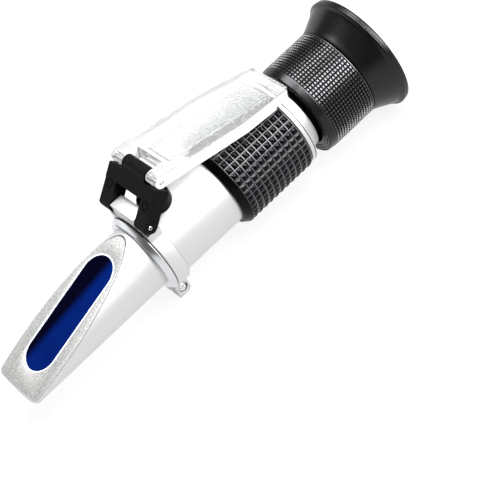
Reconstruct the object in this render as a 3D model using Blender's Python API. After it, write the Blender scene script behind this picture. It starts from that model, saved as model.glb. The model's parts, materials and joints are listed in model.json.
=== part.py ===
# Handheld antifreeze tester: a refractometer with its daylight cover folded back.
# Units are metres and +Z is up. The optical axis runs along +X, from the slanted
# nose at -X to the rubber eyecup at +X. The object lies on Z = 0.
# Each piece is drawn in the tube's own frame: x from the tip of the nose, y to the
# side and z from the optical axis. place() then moves it to the world frame.

import bpy
import bmesh
from math import asin, atan2, cos, pi, radians, sin, sqrt, tan
from mathutils import Vector

# Clearances
SEAT_GAP = 0.0003
HINGE_GAP = 0.0004
CUT_OVERRUN = 0.002

# Nose with the slanted prism face
NOSE_LENGTH = 0.0572
NOSE_RADIUS = 0.01183
NOSE_CHAMFER = 0.0012
SLANT_ANGLE = radians(16.4)
SLANT_TOP_X = 0.0555
FLANGE_THICKNESS = 0.0021
FLANGE_FRONT_RADIUS = 0.0134
FLANGE_RADIUS = 0.01495
SPIGOT_LENGTH = 0.0072
HOUSING_BORE_RADIUS = 0.0078
HOUSING_BORE_DEPTH = 0.029

# Prism and the seal round it
WINDOW_START = 0.0070
WINDOW_LENGTH = 0.0431
WINDOW_HALF_WIDTH = 0.0066
PRISM_FLOOR_DROP = 0.0072
SEAL_WIDTH = 0.0008
SEAL_DEPTH = 0.0012

# Main tube and the clamp ring that joins it to the nose
TUBE_LENGTH = 0.0608
TUBE_RADIUS = 0.01345
TUBE_WALL = 0.0016
RING_WIDTH = 0.0052
RING_WALL = 0.0013
RING_BEVEL = 0.0004
RING_SPLIT = 0.0010
EAR_HALF_WIDTH = 0.0050
EAR_MARGIN = 0.0014
EAR_CORNER = 0.0010
SCREW_STAND_OFF = 0.00185
SCREW_RADIUS = 0.0010
SCREW_HEAD_RADIUS = 0.0015
SCREW_HEAD_HEIGHT = 0.0012
SCREW_SLOT_WIDTH = 0.0004
SCREW_SLOT_DEPTH = 0.0005

# Hinge lug on the ring and the black link that turns on it
LUG_HALF_WIDTH = 0.0065
LUG_TOP = 0.0196
SADDLE_HALF_WIDTH = 0.0105
SADDLE_TOP = 0.0139
LINK_PIVOT_BACK = 0.0022
LINK_PIVOT_HEIGHT = 0.0177
LINK_PIN_RADIUS = 0.0008
LINK_ANGLE = radians(42.3)
LINK_HALF_THICKNESS = 0.00258
LINK_HALF_WIDTH = 0.0125
LINK_SHOULDER = 0.0127
LINK_WINDOW = 0.0076
LINK_WEB_THICKNESS = 0.0027
LINK_RIB = 0.0010

# Clear cover plate, hinged at the far end of the link
COVER_PIVOT_ALONG = 0.01524
COVER_PIVOT_OFFSET = 0.00056
COVER_PIN_RADIUS = 0.0006
COVER_REST_GAP = 0.000369769
COVER_HALF_WIDTH = 0.0123
COVER_END_HALF_WIDTH = 0.0097
COVER_OVERHANG = 0.00294
COVER_TAPER_START = 0.0341
COVER_END_CORNER = 0.0012
COVER_FACE_LIFT = 0.0024
COVER_SLAB = 0.0030
COVER_END_THICKNESS = 0.0038
COVER_RAIL_DEPTH = 0.0046
COVER_RAIL_SETBACK = 0.0005
COVER_NOTCH_DEPTH = 0.0049
RECESS_HALF_WIDTH = 0.0075
RECESS_START = 0.0080
RECESS_END_MARGIN = 0.0060
KNUCKLE_RADIUS = 0.0024
KNUCKLE_HALF_WIDTH = 0.0062

# Calibration screw under its rubber cap
CALIBRATION_SETBACK = 0.0063
BOSS_RADIUS = 0.0039
BOSS_THICKNESS = 0.0022
CALIBRATION_SCREW_RADIUS = 0.0018
CALIBRATION_SLOT_WIDTH = 0.0006
CALIBRATION_SLOT_DEPTH = 0.0007
CAP_RADIUS = 0.0057
CAP_STEM_RADIUS = 0.0030
CAP_SHOULDER_HEIGHT = 0.0027
CAP_HEIGHT = 0.0042

# Objective lens, temperature strip and reticle
CELL_LENGTH = 0.0113
CELL_FRONT_RADIUS = 0.0084
CELL_FLANGE_LENGTH = 0.0026
CELL_LIP_RADIUS = 0.0062
OBJECTIVE_RADIUS = 0.0070
OBJECTIVE_EDGE = 0.0014
OBJECTIVE_SAG = 0.0007
RETAINER_LENGTH = 0.0012
RETAINER_WIDTH = 0.0012
STRIP_WIDTH = 0.0040
STRIP_THICKNESS = 0.0006
STRIP_DROP = 0.0102
RETICLE_SETBACK = 0.0159
RETICLE_HOLDER_LENGTH = 0.0045
RETICLE_RADIUS = 0.0087
RETICLE_THICKNESS = 0.0012
RETICLE_LIP = 0.0014
RETICLE_LIP_WIDTH = 0.0010

# Rubber grip and the stepped rear collar
GRIP_LENGTH = 0.0303
GRIP_RADIUS = 0.01617
GRIP_BEVEL = 0.0022
GRIP_BEVEL_DROP = 0.0016
GRIP_BAND = 0.0028
GRIP_RELIEF = 0.0004
COLLAR_LENGTH = 0.0020
COLLAR_RADIUS = 0.0156
COLLAR_CHAMFER = 0.0003
COLLAR_SPIGOT_LENGTH = 0.0085
NECK_LENGTH = 0.0040
NECK_RADIUS = 0.0125
NECK_WALL = 0.00175

# Eyepiece: barrel, focus ring, lenses and eyecup
FOCUS_STAND_OFF = 0.0013
FOCUS_RING_LENGTH = 0.0203
FOCUS_RING_RADIUS = 0.0171
FOCUS_FRONT_RADIUS = 0.0167
FOCUS_FRONT_BEVEL = 0.0025
FOCUS_POCKET_DEPTH = 0.0060
BARREL_WALL = 0.0017
BARREL_REACH = 0.0112
BARREL_TAIL = 0.0026
BARREL_LIP = 0.0014
BARREL_LIP_LENGTH = 0.0017
O_RING_INSET = 0.0025
O_RING_WIDTH = 0.0011
O_RING_THICKNESS = 0.00055
EYE_LENS_EDGE = 0.0018
EYE_LENS_SAG = 0.0010
FIELD_LENS_EDGE = 0.0016
FIELD_LENS_SAG = 0.0009
SPACER_WALL = 0.0009
EYECUP_LENGTH = 0.0114
EYECUP_BASE_THICKNESS = 0.0020
EYECUP_WALL = 0.0016
EYECUP_BASE_RADIUS = 0.0170
EYECUP_FLARE_RADIUS = 0.0205
EYECUP_RIM_RADIUS = 0.02195
EYECUP_RIM_LENGTH = 0.0028
EYECUP_RIM_CHAMFER = 0.0009
EYECUP_RING_LENGTH = 0.0012
EYECUP_RING_WIDTH = 0.0020

# Facets round a turned shape
FACETS = 48
FINE_FACETS = 32
PIN_FACETS = 16

# Places along the axis, measured from the tip of the nose
FLANGE_END = NOSE_LENGTH + FLANGE_THICKNESS
TUBE_START = FLANGE_END + SEAT_GAP
TUBE_END = TUBE_START + TUBE_LENGTH
RING_END = TUBE_START + RING_WIDTH
SPIGOT_END = FLANGE_END + SPIGOT_LENGTH
GRIP_START = TUBE_END - GRIP_LENGTH
COLLAR_START = TUBE_END + SEAT_GAP
COLLAR_END = COLLAR_START + COLLAR_LENGTH
NECK_END = COLLAR_END + NECK_LENGTH
FOCUS_START = NECK_END + FOCUS_STAND_OFF
FOCUS_END = FOCUS_START + FOCUS_RING_LENGTH
EYECUP_START = FOCUS_END + SEAT_GAP
OVERALL_LENGTH = EYECUP_START + EYECUP_LENGTH
AXIS_HEIGHT = EYECUP_RIM_RADIUS
RING_INNER = TUBE_RADIUS + SEAT_GAP
RING_OUTER = RING_INNER + RING_WALL
SCREW_DROP = RING_OUTER + SCREW_STAND_OFF + SCREW_HEAD_RADIUS
EAR_DROP = SCREW_DROP + SCREW_HEAD_RADIUS + EAR_MARGIN
TUBE_BORE = TUBE_RADIUS - TUBE_WALL
INNER_FIT = TUBE_BORE - SEAT_GAP

# Slanted face: where it starts at the tip, its direction and its outward side
SLANT_START_Z = NOSE_RADIUS - SLANT_TOP_X * tan(SLANT_ANGLE)
SLANT_ALONG = Vector((cos(SLANT_ANGLE), 0.0, sin(SLANT_ANGLE)))
SLANT_NORMAL = Vector((-sin(SLANT_ANGLE), 0.0, cos(SLANT_ANGLE)))

# Hinges: the link's pivot on the ring, and the cover's pivot on the link. The folded
# cover lies with the underside of its free end just above the collar.
LINK_PIVOT = Vector((FLANGE_END + LINK_PIVOT_BACK, 0.0, LINK_PIVOT_HEIGHT))
LINK_ALONG = Vector((cos(LINK_ANGLE), 0.0, sin(LINK_ANGLE)))
LINK_INWARD = Vector((-sin(LINK_ANGLE), 0.0, cos(LINK_ANGLE)))
COVER_PIVOT = LINK_PIVOT + LINK_ALONG * COVER_PIVOT_ALONG + LINK_INWARD * COVER_PIVOT_OFFSET
COVER_END_FLOOR = COVER_FACE_LIFT - COVER_END_THICKNESS
COVER_REST_HEIGHT = max(COLLAR_RADIUS, GRIP_RADIUS - 2 * GRIP_RELIEF) + COVER_REST_GAP
COVER_REACH = COLLAR_END - COVER_PIVOT.x
COVER_DROP = COVER_REST_HEIGHT - COVER_PIVOT.z
COVER_FLOOR_ANGLE = asin(COVER_END_FLOOR / sqrt(COVER_REACH ** 2 + COVER_DROP ** 2))
COVER_REST_ANGLE = atan2(COVER_DROP, COVER_REACH) - COVER_FLOOR_ANGLE
COVER_ALONG = Vector((cos(COVER_REST_ANGLE), 0.0, sin(COVER_REST_ANGLE)))
COVER_INWARD = Vector((-sin(COVER_REST_ANGLE), 0.0, cos(COVER_REST_ANGLE)))
COVER_LENGTH = (COVER_REACH + COVER_OVERHANG) / cos(COVER_REST_ANGLE)
CALIBRATION_X = RING_END + CALIBRATION_SETBACK

TO_WORLD = Vector((-OVERALL_LENGTH / 2, 0.0, AXIS_HEIGHT))
AXIS_ORIGIN = Vector((0.0, 0.0, 0.0))


# Materials

def material(name, colour, roughness, metallic=0.0, transmission=0.0):
    """A plain Principled material."""
    made = bpy.data.materials.new(name)
    made.use_nodes = True
    shader = made.node_tree.nodes["Principled BSDF"]
    shader.inputs["Base Color"].default_value = (*colour, 1.0)
    shader.inputs["Roughness"].default_value = roughness
    shader.inputs["Metallic"].default_value = metallic
    shader.inputs["Transmission Weight"].default_value = transmission
    made.diffuse_color = (*colour, 1.0)
    return made


def make_materials():
    """Every finish on the tester, by name."""
    return {
        "satin_aluminium": material("satin_aluminium", (0.80, 0.80, 0.79), 0.30, 1.0),
        "blue_prism": material("blue_prism", (0.01, 0.02, 0.16), 0.05),
        "white_seal": material("white_seal", (0.80, 0.86, 0.92), 0.30),
        "steel": material("steel", (0.70, 0.70, 0.70), 0.25, 1.0),
        "black_plastic": material("black_plastic", (0.012, 0.012, 0.013), 0.45),
        "clear_acrylic": material("clear_acrylic", (0.95, 0.97, 0.97), 0.05, 0.0, 1.0),
        "black_rubber": material("black_rubber", (0.015, 0.015, 0.016), 0.60),
        "black_anodised": material("black_anodised", (0.02, 0.02, 0.02), 0.35, 0.5),
        "optical_glass": material("optical_glass", (0.90, 0.95, 0.98), 0.02, 0.0, 1.0),
        "brass": material("brass", (0.70, 0.52, 0.22), 0.30, 1.0),
    }


# Meshes

def closed_mesh(name, points, faces):
    """A mesh from points and faces, with its faces turned outwards."""
    mesh = bpy.data.meshes.new(name)
    work = bmesh.new()
    made = [work.verts.new(point) for point in points]
    for face in faces:
        work.faces.new([made[index] for index in face])
    bmesh.ops.recalc_face_normals(work, faces=work.faces)
    work.to_mesh(mesh)
    work.free()
    mesh.shade_smooth()
    mesh.set_sharp_from_angle(angle=radians(35))
    return mesh


def turned(name, profile, facets=FACETS):
    """A shape turned about the optical axis from (x, radius) points round its section."""
    points = []
    rows = []
    for x, radius in profile:
        if radius == 0.0:
            rows.append([len(points)] * facets)
            points.append((x, 0.0, 0.0))
            continue
        rows.append(list(range(len(points), len(points) + facets)))
        for step in range(facets):
            angle = 2 * pi * step / facets
            points.append((x, radius * cos(angle), radius * sin(angle)))
    faces = []
    for row, after in zip(rows, rows[1:] + rows[:1]):
        for step in range(facets):
            turn = (step + 1) % facets
            corners = [row[step], row[turn], after[turn], after[step]]
            face = list(dict.fromkeys(corners))
            if len(face) > 2:
                faces.append(face)
    return closed_mesh(name, points, faces)


def between(name, first, second):
    """A solid between two loops of as many points, each closed by a flat face."""
    count = len(first)
    faces = [list(range(count)), list(range(2 * count - 1, count - 1, -1))]
    for step in range(count):
        turn = (step + 1) % count
        faces.append([step, turn, count + turn, count + step])
    return closed_mesh(name, list(first) + list(second), faces)


def across(name, outline, y_low, y_high):
    """An outline of (x, z) points, extruded across the tube from y_low to y_high."""
    low = [Vector((x, y_low, z)) for x, z in outline]
    high = [Vector((x, y_high, z)) for x, z in outline]
    return between(name, low, high)


def tongued(name, wide, tongue, half_width, tongue_half_width):
    """A wide outline with a narrower tongue on its last edge, as one (x, z) extrusion."""
    loops = []
    for side in (-half_width, -tongue_half_width, tongue_half_width, half_width):
        inner = abs(side) < half_width
        outline = wide + tongue if inner else wide
        loops.append([Vector((x, side, z)) for x, z in outline])
    points = [point for loop in loops for point in loop]
    count = len(wide)
    starts = [sum(len(loop) for loop in loops[:number]) for number in range(len(loops))]
    ring = list(range(count))
    root = [count - 2] + list(range(count, count + len(tongue))) + [count - 1]
    faces = [[starts[0] + index for index in ring], [starts[3] + index for index in ring]]
    faces += [[starts[number] + index for index in root] for number in (1, 2)]
    for number, after in ((0, 1), (1, 2), (2, 3)):
        edges = list(zip(ring, ring[1:] + ring[:1]))
        if number == 1:
            edges.remove((count - 2, count - 1))
            edges += list(zip(root, root[1:]))
        for low, high in edges:
            first, second = starts[number], starts[after]
            faces.append([first + low, first + high, second + high, second + low])
    return closed_mesh(name, points, faces)


def round_bar(name, centre, direction, radius, start, end, facets=PIN_FACETS):
    """A bar of one radius along a direction, from start to end past its centre."""
    direction = direction.normalized()
    side = direction.orthogonal().normalized()
    if abs(direction.y) > abs(direction.x):
        side = Vector((1.0, 0.0, 0.0))
    other = direction.cross(side)
    loops = []
    for reach in (start, end):
        loop = []
        for step in range(facets):
            angle = 2 * pi * step / facets
            arm = side * (radius * cos(angle)) + other * (radius * sin(angle))
            loop.append(centre + direction * reach + arm)
        loops.append(loop)
    return between(name, loops[0], loops[1])


def block(name, low, high):
    """A box between two corners."""
    corners = [(low[0], low[2]), (high[0], low[2]), (high[0], high[2]), (low[0], high[2])]
    return across(name, corners, low[1], high[1])


def arc(centre, radius, start, end, steps):
    """Points on an arc in a plane, both ends included."""
    points = []
    for step in range(steps + 1):
        angle = start + (end - start) * step / steps
        points.append((centre[0] + radius * cos(angle), centre[1] + radius * sin(angle)))
    return points


def stadium(start, end, half_width, steps=12):
    """A slot outline: two straight sides closed by half circles, as (along, side)."""
    rear = arc((end - half_width, 0.0), half_width, -pi / 2, pi / 2, steps)
    front = arc((start + half_width, 0.0), half_width, pi / 2, 3 * pi / 2, steps)
    return rear + front


# Objects

def place(mesh, finish=None, origin=AXIS_ORIGIN):
    """An object from a mesh drawn in the tube's frame, with its origin moved to a pivot."""
    for vertex in mesh.vertices:
        vertex.co -= origin
    made = bpy.data.objects.new(mesh.name, mesh)
    made.location = origin + TO_WORLD
    bpy.context.scene.collection.objects.link(made)
    if finish:
        mesh.materials.append(finish)
    return made


def combine(target, mesh, operation):
    """Adds a Boolean with a hidden tool shape to an object."""
    tool = place(mesh)
    tool.hide_render = True
    tool.display_type = "WIRE"
    step = target.modifiers.new(mesh.name, "BOOLEAN")
    step.operation = operation
    step.solver = "EXACT"
    step.object = tool


def cut(target, mesh):
    combine(target, mesh, "DIFFERENCE")


def add(target, mesh):
    combine(target, mesh, "UNION")


# Nose, prism and seal

def on_slant(along, side, lift):
    """A point on the slanted face, or above it by lift."""
    foot = Vector((0.0, side, SLANT_START_Z))
    return foot + SLANT_ALONG * along + SLANT_NORMAL * lift


def slant_slot(name, half_width, top_lift, floor):
    """A slot shape that goes into the slanted face down to a floor, or to a depth."""
    margin = half_width - WINDOW_HALF_WIDTH
    outline = stadium(WINDOW_START - margin, WINDOW_START + WINDOW_LENGTH + margin, half_width)
    top = [on_slant(along, side, top_lift) for along, side in outline]
    bottom = []
    for point in top:
        drop = (point.z - floor) / SLANT_NORMAL.z
        bottom.append(point - SLANT_NORMAL * drop)
    return between(name, top, bottom)


def slant_band(name, half_width, top_lift, depth):
    """A slot shape of even depth in the slanted face."""
    margin = half_width - WINDOW_HALF_WIDTH
    outline = stadium(WINDOW_START - margin, WINDOW_START + WINDOW_LENGTH + margin, half_width)
    top = [on_slant(along, side, top_lift) for along, side in outline]
    bottom = [on_slant(along, side, -depth) for along, side in outline]
    return between(name, top, bottom)


def make_prism_housing(finish):
    """The nose: a bored cylinder cut by the slanted face, with a flange and a spigot."""
    bore_front = SPIGOT_END - HOUSING_BORE_DEPTH
    profile = [
        (0.0, 0.0),
        (0.0, NOSE_RADIUS - NOSE_CHAMFER),
        (NOSE_CHAMFER, NOSE_RADIUS),
        (NOSE_LENGTH, NOSE_RADIUS),
        (NOSE_LENGTH, FLANGE_FRONT_RADIUS),
        (FLANGE_END - FLANGE_THICKNESS / 4, FLANGE_RADIUS),
        (FLANGE_END, FLANGE_RADIUS),
        (FLANGE_END, INNER_FIT),
        (SPIGOT_END, INNER_FIT),
        (SPIGOT_END, HOUSING_BORE_RADIUS),
        (bore_front, HOUSING_BORE_RADIUS),
        (bore_front, 0.0),
    ]
    housing = place(turned("prism_housing", profile), finish)
    rise = SLANT_TOP_X + CUT_OVERRUN
    slab = [
        (-CUT_OVERRUN, SLANT_START_Z - CUT_OVERRUN * tan(SLANT_ANGLE)),
        (rise, SLANT_START_Z + rise * tan(SLANT_ANGLE)),
        (rise, 2 * NOSE_RADIUS),
        (-CUT_OVERRUN, 2 * NOSE_RADIUS),
    ]
    cut(housing, across("slant_cut", slab, -2 * NOSE_RADIUS, 2 * NOSE_RADIUS))
    pocket_width = WINDOW_HALF_WIDTH + SEAT_GAP
    pocket_floor = -PRISM_FLOOR_DROP - SEAT_GAP
    cut(housing, slant_slot("prism_pocket", pocket_width, CUT_OVERRUN, pocket_floor))
    seal_width = pocket_width + SEAL_WIDTH + SEAT_GAP
    cut(housing, slant_band("seal_pocket", seal_width, CUT_OVERRUN, SEAL_DEPTH + SEAT_GAP))
    return housing


def make_main_prism(finish):
    """The glass wedge whose top is the window in the slanted face."""
    return place(slant_slot("main_prism", WINDOW_HALF_WIDTH, 0.0, -PRISM_FLOOR_DROP), finish)


def make_prism_seal(finish):
    """The narrow seal round the window."""
    inner = WINDOW_HALF_WIDTH + SEAT_GAP
    seal = place(slant_band("prism_seal", inner + SEAL_WIDTH, 0.0, SEAL_DEPTH), finish)
    cut(seal, slant_band("seal_bore", inner, CUT_OVERRUN, SEAL_DEPTH + CUT_OVERRUN))
    return seal


# Clamp ring, its screw and the main tube

def make_clamp_ring(finish):
    """A split ring with two ears and a screw below, and the hinge lug on top."""
    inner = RING_INNER
    outer = RING_OUTER
    profile = [
        (TUBE_START, inner),
        (TUBE_START, outer - RING_BEVEL),
        (TUBE_START + RING_BEVEL, outer),
        (RING_END - RING_BEVEL, outer),
        (RING_END, outer - RING_BEVEL),
        (RING_END, inner),
    ]
    ring = place(turned("clamp_ring", profile), finish)
    ring_middle = inner + RING_WALL / 2
    ear = [
        (TUBE_START, -ring_middle * cos(asin(EAR_HALF_WIDTH / ring_middle))),
        (TUBE_START, -EAR_DROP),
        (RING_END - EAR_CORNER, -EAR_DROP),
        (RING_END, -EAR_DROP + EAR_CORNER),
        (RING_END, -ring_middle * cos(asin(EAR_HALF_WIDTH / ring_middle))),
    ]
    add(ring, across("ear_blank", ear, -EAR_HALF_WIDTH, EAR_HALF_WIDTH))
    for name, half_width, top in (
        ("saddle_blank", SADDLE_HALF_WIDTH, SADDLE_TOP),
        ("lug_blank", LUG_HALF_WIDTH, LUG_TOP),
    ):
        low = (TUBE_START, -half_width, ring_middle * cos(asin(half_width / ring_middle)))
        add(ring, block(name, low, (RING_END, half_width, top)))
    clear_bore = [
        (TUBE_START - CUT_OVERRUN, 0.0),
        (TUBE_START - CUT_OVERRUN, inner),
        (RING_END + CUT_OVERRUN, inner),
        (RING_END + CUT_OVERRUN, 0.0),
    ]
    cut(ring, turned("ring_bore", clear_bore))
    split_low = (TUBE_START - CUT_OVERRUN, -RING_SPLIT / 2, -EAR_DROP - CUT_OVERRUN)
    split_high = (RING_END + CUT_OVERRUN, RING_SPLIT / 2, -inner + RING_WALL)
    cut(ring, block("ring_split", split_low, split_high))
    middle = (TUBE_START + RING_END) / 2
    screw_line = Vector((middle, 0.0, -SCREW_DROP))
    sideways = Vector((0.0, 1.0, 0.0))
    reach = EAR_HALF_WIDTH + CUT_OVERRUN
    cut(ring, round_bar("screw_hole", screw_line, sideways, SCREW_RADIUS + SEAT_GAP, -reach, reach))
    head_seat = -EAR_HALF_WIDTH + SCREW_HEAD_HEIGHT + SEAT_GAP
    head_hole = SCREW_HEAD_RADIUS + SEAT_GAP
    cut(ring, round_bar("head_hole", screw_line, sideways, head_hole, -reach, head_seat))
    lug_reach = LUG_HALF_WIDTH + CUT_OVERRUN
    pin_hole = LINK_PIN_RADIUS + SEAT_GAP
    cut(ring, round_bar("lug_hole", LINK_PIVOT, sideways, pin_hole, -lug_reach, lug_reach))
    return ring


def make_clamp_screw(finish):
    """The slotted screw that draws the two ears together."""
    middle = (TUBE_START + RING_END) / 2
    centre = Vector((middle, 0.0, -SCREW_DROP))
    sideways = Vector((0.0, 1.0, 0.0))
    head_end = -EAR_HALF_WIDTH + SCREW_HEAD_HEIGHT
    shank_start = -EAR_HALF_WIDTH + SCREW_HEAD_HEIGHT / 2
    shank = round_bar("clamp_screw", centre, sideways, SCREW_RADIUS, shank_start, EAR_HALF_WIDTH)
    screw = place(shank, finish, centre)
    head = round_bar("screw_head", centre, sideways, SCREW_HEAD_RADIUS, -EAR_HALF_WIDTH, head_end)
    add(screw, head)
    slot_low = (
        middle - 2 * SCREW_HEAD_RADIUS,
        -EAR_HALF_WIDTH - CUT_OVERRUN,
        -SCREW_DROP - SCREW_SLOT_WIDTH / 2,
    )
    slot_high = (
        middle + 2 * SCREW_HEAD_RADIUS,
        -EAR_HALF_WIDTH + SCREW_SLOT_DEPTH,
        -SCREW_DROP + SCREW_SLOT_WIDTH / 2,
    )
    cut(screw, block("screw_slot", slot_low, slot_high))
    return screw


def boss_top():
    """Height of the flat floor of the hole for the calibration cap."""
    return sqrt(TUBE_BORE ** 2 - BOSS_RADIUS ** 2) + TUBE_WALL / 2


def make_main_tube(finish):
    """The bright tube, with a boss inside its top for the calibration screw."""
    profile = [
        (TUBE_START, TUBE_BORE),
        (TUBE_START, TUBE_RADIUS),
        (TUBE_END, TUBE_RADIUS),
        (TUBE_END, TUBE_BORE),
    ]
    tube = place(turned("main_tube", profile), finish)
    up = Vector((0.0, 0.0, 1.0))
    foot = Vector((CALIBRATION_X, 0.0, 0.0))
    top = boss_top()
    bottom = top - BOSS_THICKNESS
    facets = FINE_FACETS
    add(tube, round_bar("boss_blank", foot, up, BOSS_RADIUS, bottom, top, facets))
    cap_hole = CAP_STEM_RADIUS + SEAT_GAP
    past = TUBE_RADIUS + CUT_OVERRUN
    cut(tube, round_bar("cap_hole", foot, up, cap_hole, top - SEAT_GAP, past, facets))
    screw_hole = CALIBRATION_SCREW_RADIUS + SEAT_GAP
    low = bottom - CUT_OVERRUN
    cut(tube, round_bar("calibration_hole", foot, up, screw_hole, low, past, facets))
    return tube


# Calibration screw and its cap

def make_calibration_screw(finish):
    """The small slotted screw that trims the reading."""
    up = Vector((0.0, 0.0, 1.0))
    foot = Vector((CALIBRATION_X, 0.0, 0.0))
    top = boss_top() - SEAT_GAP
    tip = CELL_FRONT_RADIUS + SEAT_GAP
    origin = foot + up * tip
    shank = round_bar("calibration_screw", foot, up, CALIBRATION_SCREW_RADIUS, tip, top)
    screw = place(shank, finish, origin)
    reach = 2 * CALIBRATION_SCREW_RADIUS
    half = CALIBRATION_SLOT_WIDTH / 2
    low = (CALIBRATION_X - reach, -half, top - CALIBRATION_SLOT_DEPTH)
    high = (CALIBRATION_X + reach, half, top + CUT_OVERRUN)
    cut(screw, block("calibration_slot", low, high))
    return screw


def make_calibration_cap(finish):
    """A rubber plug with a domed top, shaped below to sit on the tube."""
    foot = Vector((CALIBRATION_X, 0.0, 0.0))
    stem_foot = boss_top()
    shoulder = TUBE_RADIUS + CAP_SHOULDER_HEIGHT
    crown = TUBE_RADIUS + CAP_HEIGHT
    skirt = sqrt(TUBE_RADIUS ** 2 - CAP_RADIUS ** 2) - SEAT_GAP
    dome = arc((CAP_RADIUS - (crown - shoulder), shoulder), crown - shoulder, 0.0, pi / 2, 5)
    section = [(0.0, skirt), (CAP_RADIUS, skirt)] + dome + [(0.0, crown)]
    upright = turned("calibration_cap", [(height, radius) for radius, height in section], FINE_FACETS)
    for vertex in upright.vertices:
        x, y, z = vertex.co
        vertex.co = foot + Vector((-z, y, x))
    cap = place(upright, finish, foot + Vector((0.0, 0.0, stem_foot)))
    seat = TUBE_RADIUS + SEAT_GAP
    saddle = [
        (CALIBRATION_X - 2 * CAP_RADIUS, 0.0),
        (CALIBRATION_X - 2 * CAP_RADIUS, seat),
        (CALIBRATION_X + 2 * CAP_RADIUS, seat),
        (CALIBRATION_X + 2 * CAP_RADIUS, 0.0),
    ]
    cut(cap, turned("cap_saddle", saddle))
    up = Vector((0.0, 0.0, 1.0))
    stem_top = shoulder
    stem = round_bar("cap_stem", foot, up, CAP_STEM_RADIUS, stem_foot, stem_top, FINE_FACETS)
    add(cap, stem)
    return cap


# Hinge link and its pin

def on_link(along, inward):
    """A point of the link's side view, as (x, z) in the tube's frame."""
    point = LINK_PIVOT + LINK_ALONG * along + LINK_INWARD * inward
    return (point.x, point.z)


def make_hinge_bracket(finish):
    """The black link: two arms, a web between them and the knuckle for the cover."""
    half = LINK_HALF_THICKNESS
    arm_inner = LUG_HALF_WIDTH + HINGE_GAP
    web_bottom = half - LINK_WEB_THICKNESS
    centre = (COVER_PIVOT_ALONG, COVER_PIVOT_OFFSET)
    low_angle = pi + asin((COVER_PIVOT_OFFSET - web_bottom) / KNUCKLE_RADIUS)
    high_angle = 3 * pi - asin((half - COVER_PIVOT_OFFSET) / KNUCKLE_RADIUS)
    arms = arc((0.0, 0.0), half, pi / 2, 3 * pi / 2, 8)
    arms += [(LINK_SHOULDER, -half), (LINK_SHOULDER, web_bottom), (LINK_SHOULDER, half)]
    arms = [on_link(along, inward) for along, inward in arms]
    knuckle = arc(centre, KNUCKLE_RADIUS, low_angle, high_angle, FINE_FACETS // 2)
    knuckle = [on_link(along, inward) for along, inward in knuckle]
    blank = tongued("hinge_bracket", arms, knuckle, LINK_HALF_WIDTH, KNUCKLE_HALF_WIDTH)
    link = place(blank, finish, LINK_PIVOT)
    past = LINK_HALF_WIDTH + CUT_OVERRUN
    low = -half - CUT_OVERRUN
    high = KNUCKLE_RADIUS + COVER_PIVOT_OFFSET + CUT_OVERRUN
    window = [
        on_link(low, low),
        on_link(LINK_SHOULDER - LINK_RIB, low),
        on_link(LINK_SHOULDER - LINK_RIB, web_bottom),
        on_link(LINK_WINDOW, web_bottom),
        on_link(LINK_WINDOW, high),
        on_link(low, high),
    ]
    cut(link, across("link_window", window, -arm_inner, arm_inner))
    sideways = Vector((0.0, 1.0, 0.0))
    pin_hole = LINK_PIN_RADIUS + SEAT_GAP
    cut(link, round_bar("link_hole", LINK_PIVOT, sideways, pin_hole, -past, past))
    cover_hole = COVER_PIN_RADIUS + SEAT_GAP
    cut(link, round_bar("knuckle_hole", COVER_PIVOT, sideways, cover_hole, -past, past))
    return link


def make_hinge_pin(finish):
    """The pin through the lug and both arms of the link."""
    sideways = Vector((0.0, 1.0, 0.0))
    reach = LINK_HALF_WIDTH
    pin = round_bar("bracket_pin", LINK_PIVOT, sideways, LINK_PIN_RADIUS, -reach, reach)
    return place(pin, finish, LINK_PIVOT)


# Cover plate and its pin

def on_cover(along, side, inward):
    """A point of the cover, from its pivot."""
    level = COVER_PIVOT + COVER_ALONG * along + COVER_INWARD * inward
    return Vector((level.x, side, level.z))


def cover_taper(along):
    """Where the tapering edge of the cover lies, at a distance from its pivot."""
    share = (along - COVER_TAPER_START) / (COVER_LENGTH - COVER_TAPER_START)
    return COVER_HALF_WIDTH + (COVER_END_HALF_WIDTH - COVER_HALF_WIDTH) * share


def cover_layer(name, outline, low, high):
    """A plan outline of the cover, from one level to another."""
    bottom = [on_cover(along, side, low) for along, side in outline]
    top = [on_cover(along, side, high) for along, side in outline]
    return between(name, bottom, top)


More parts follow.
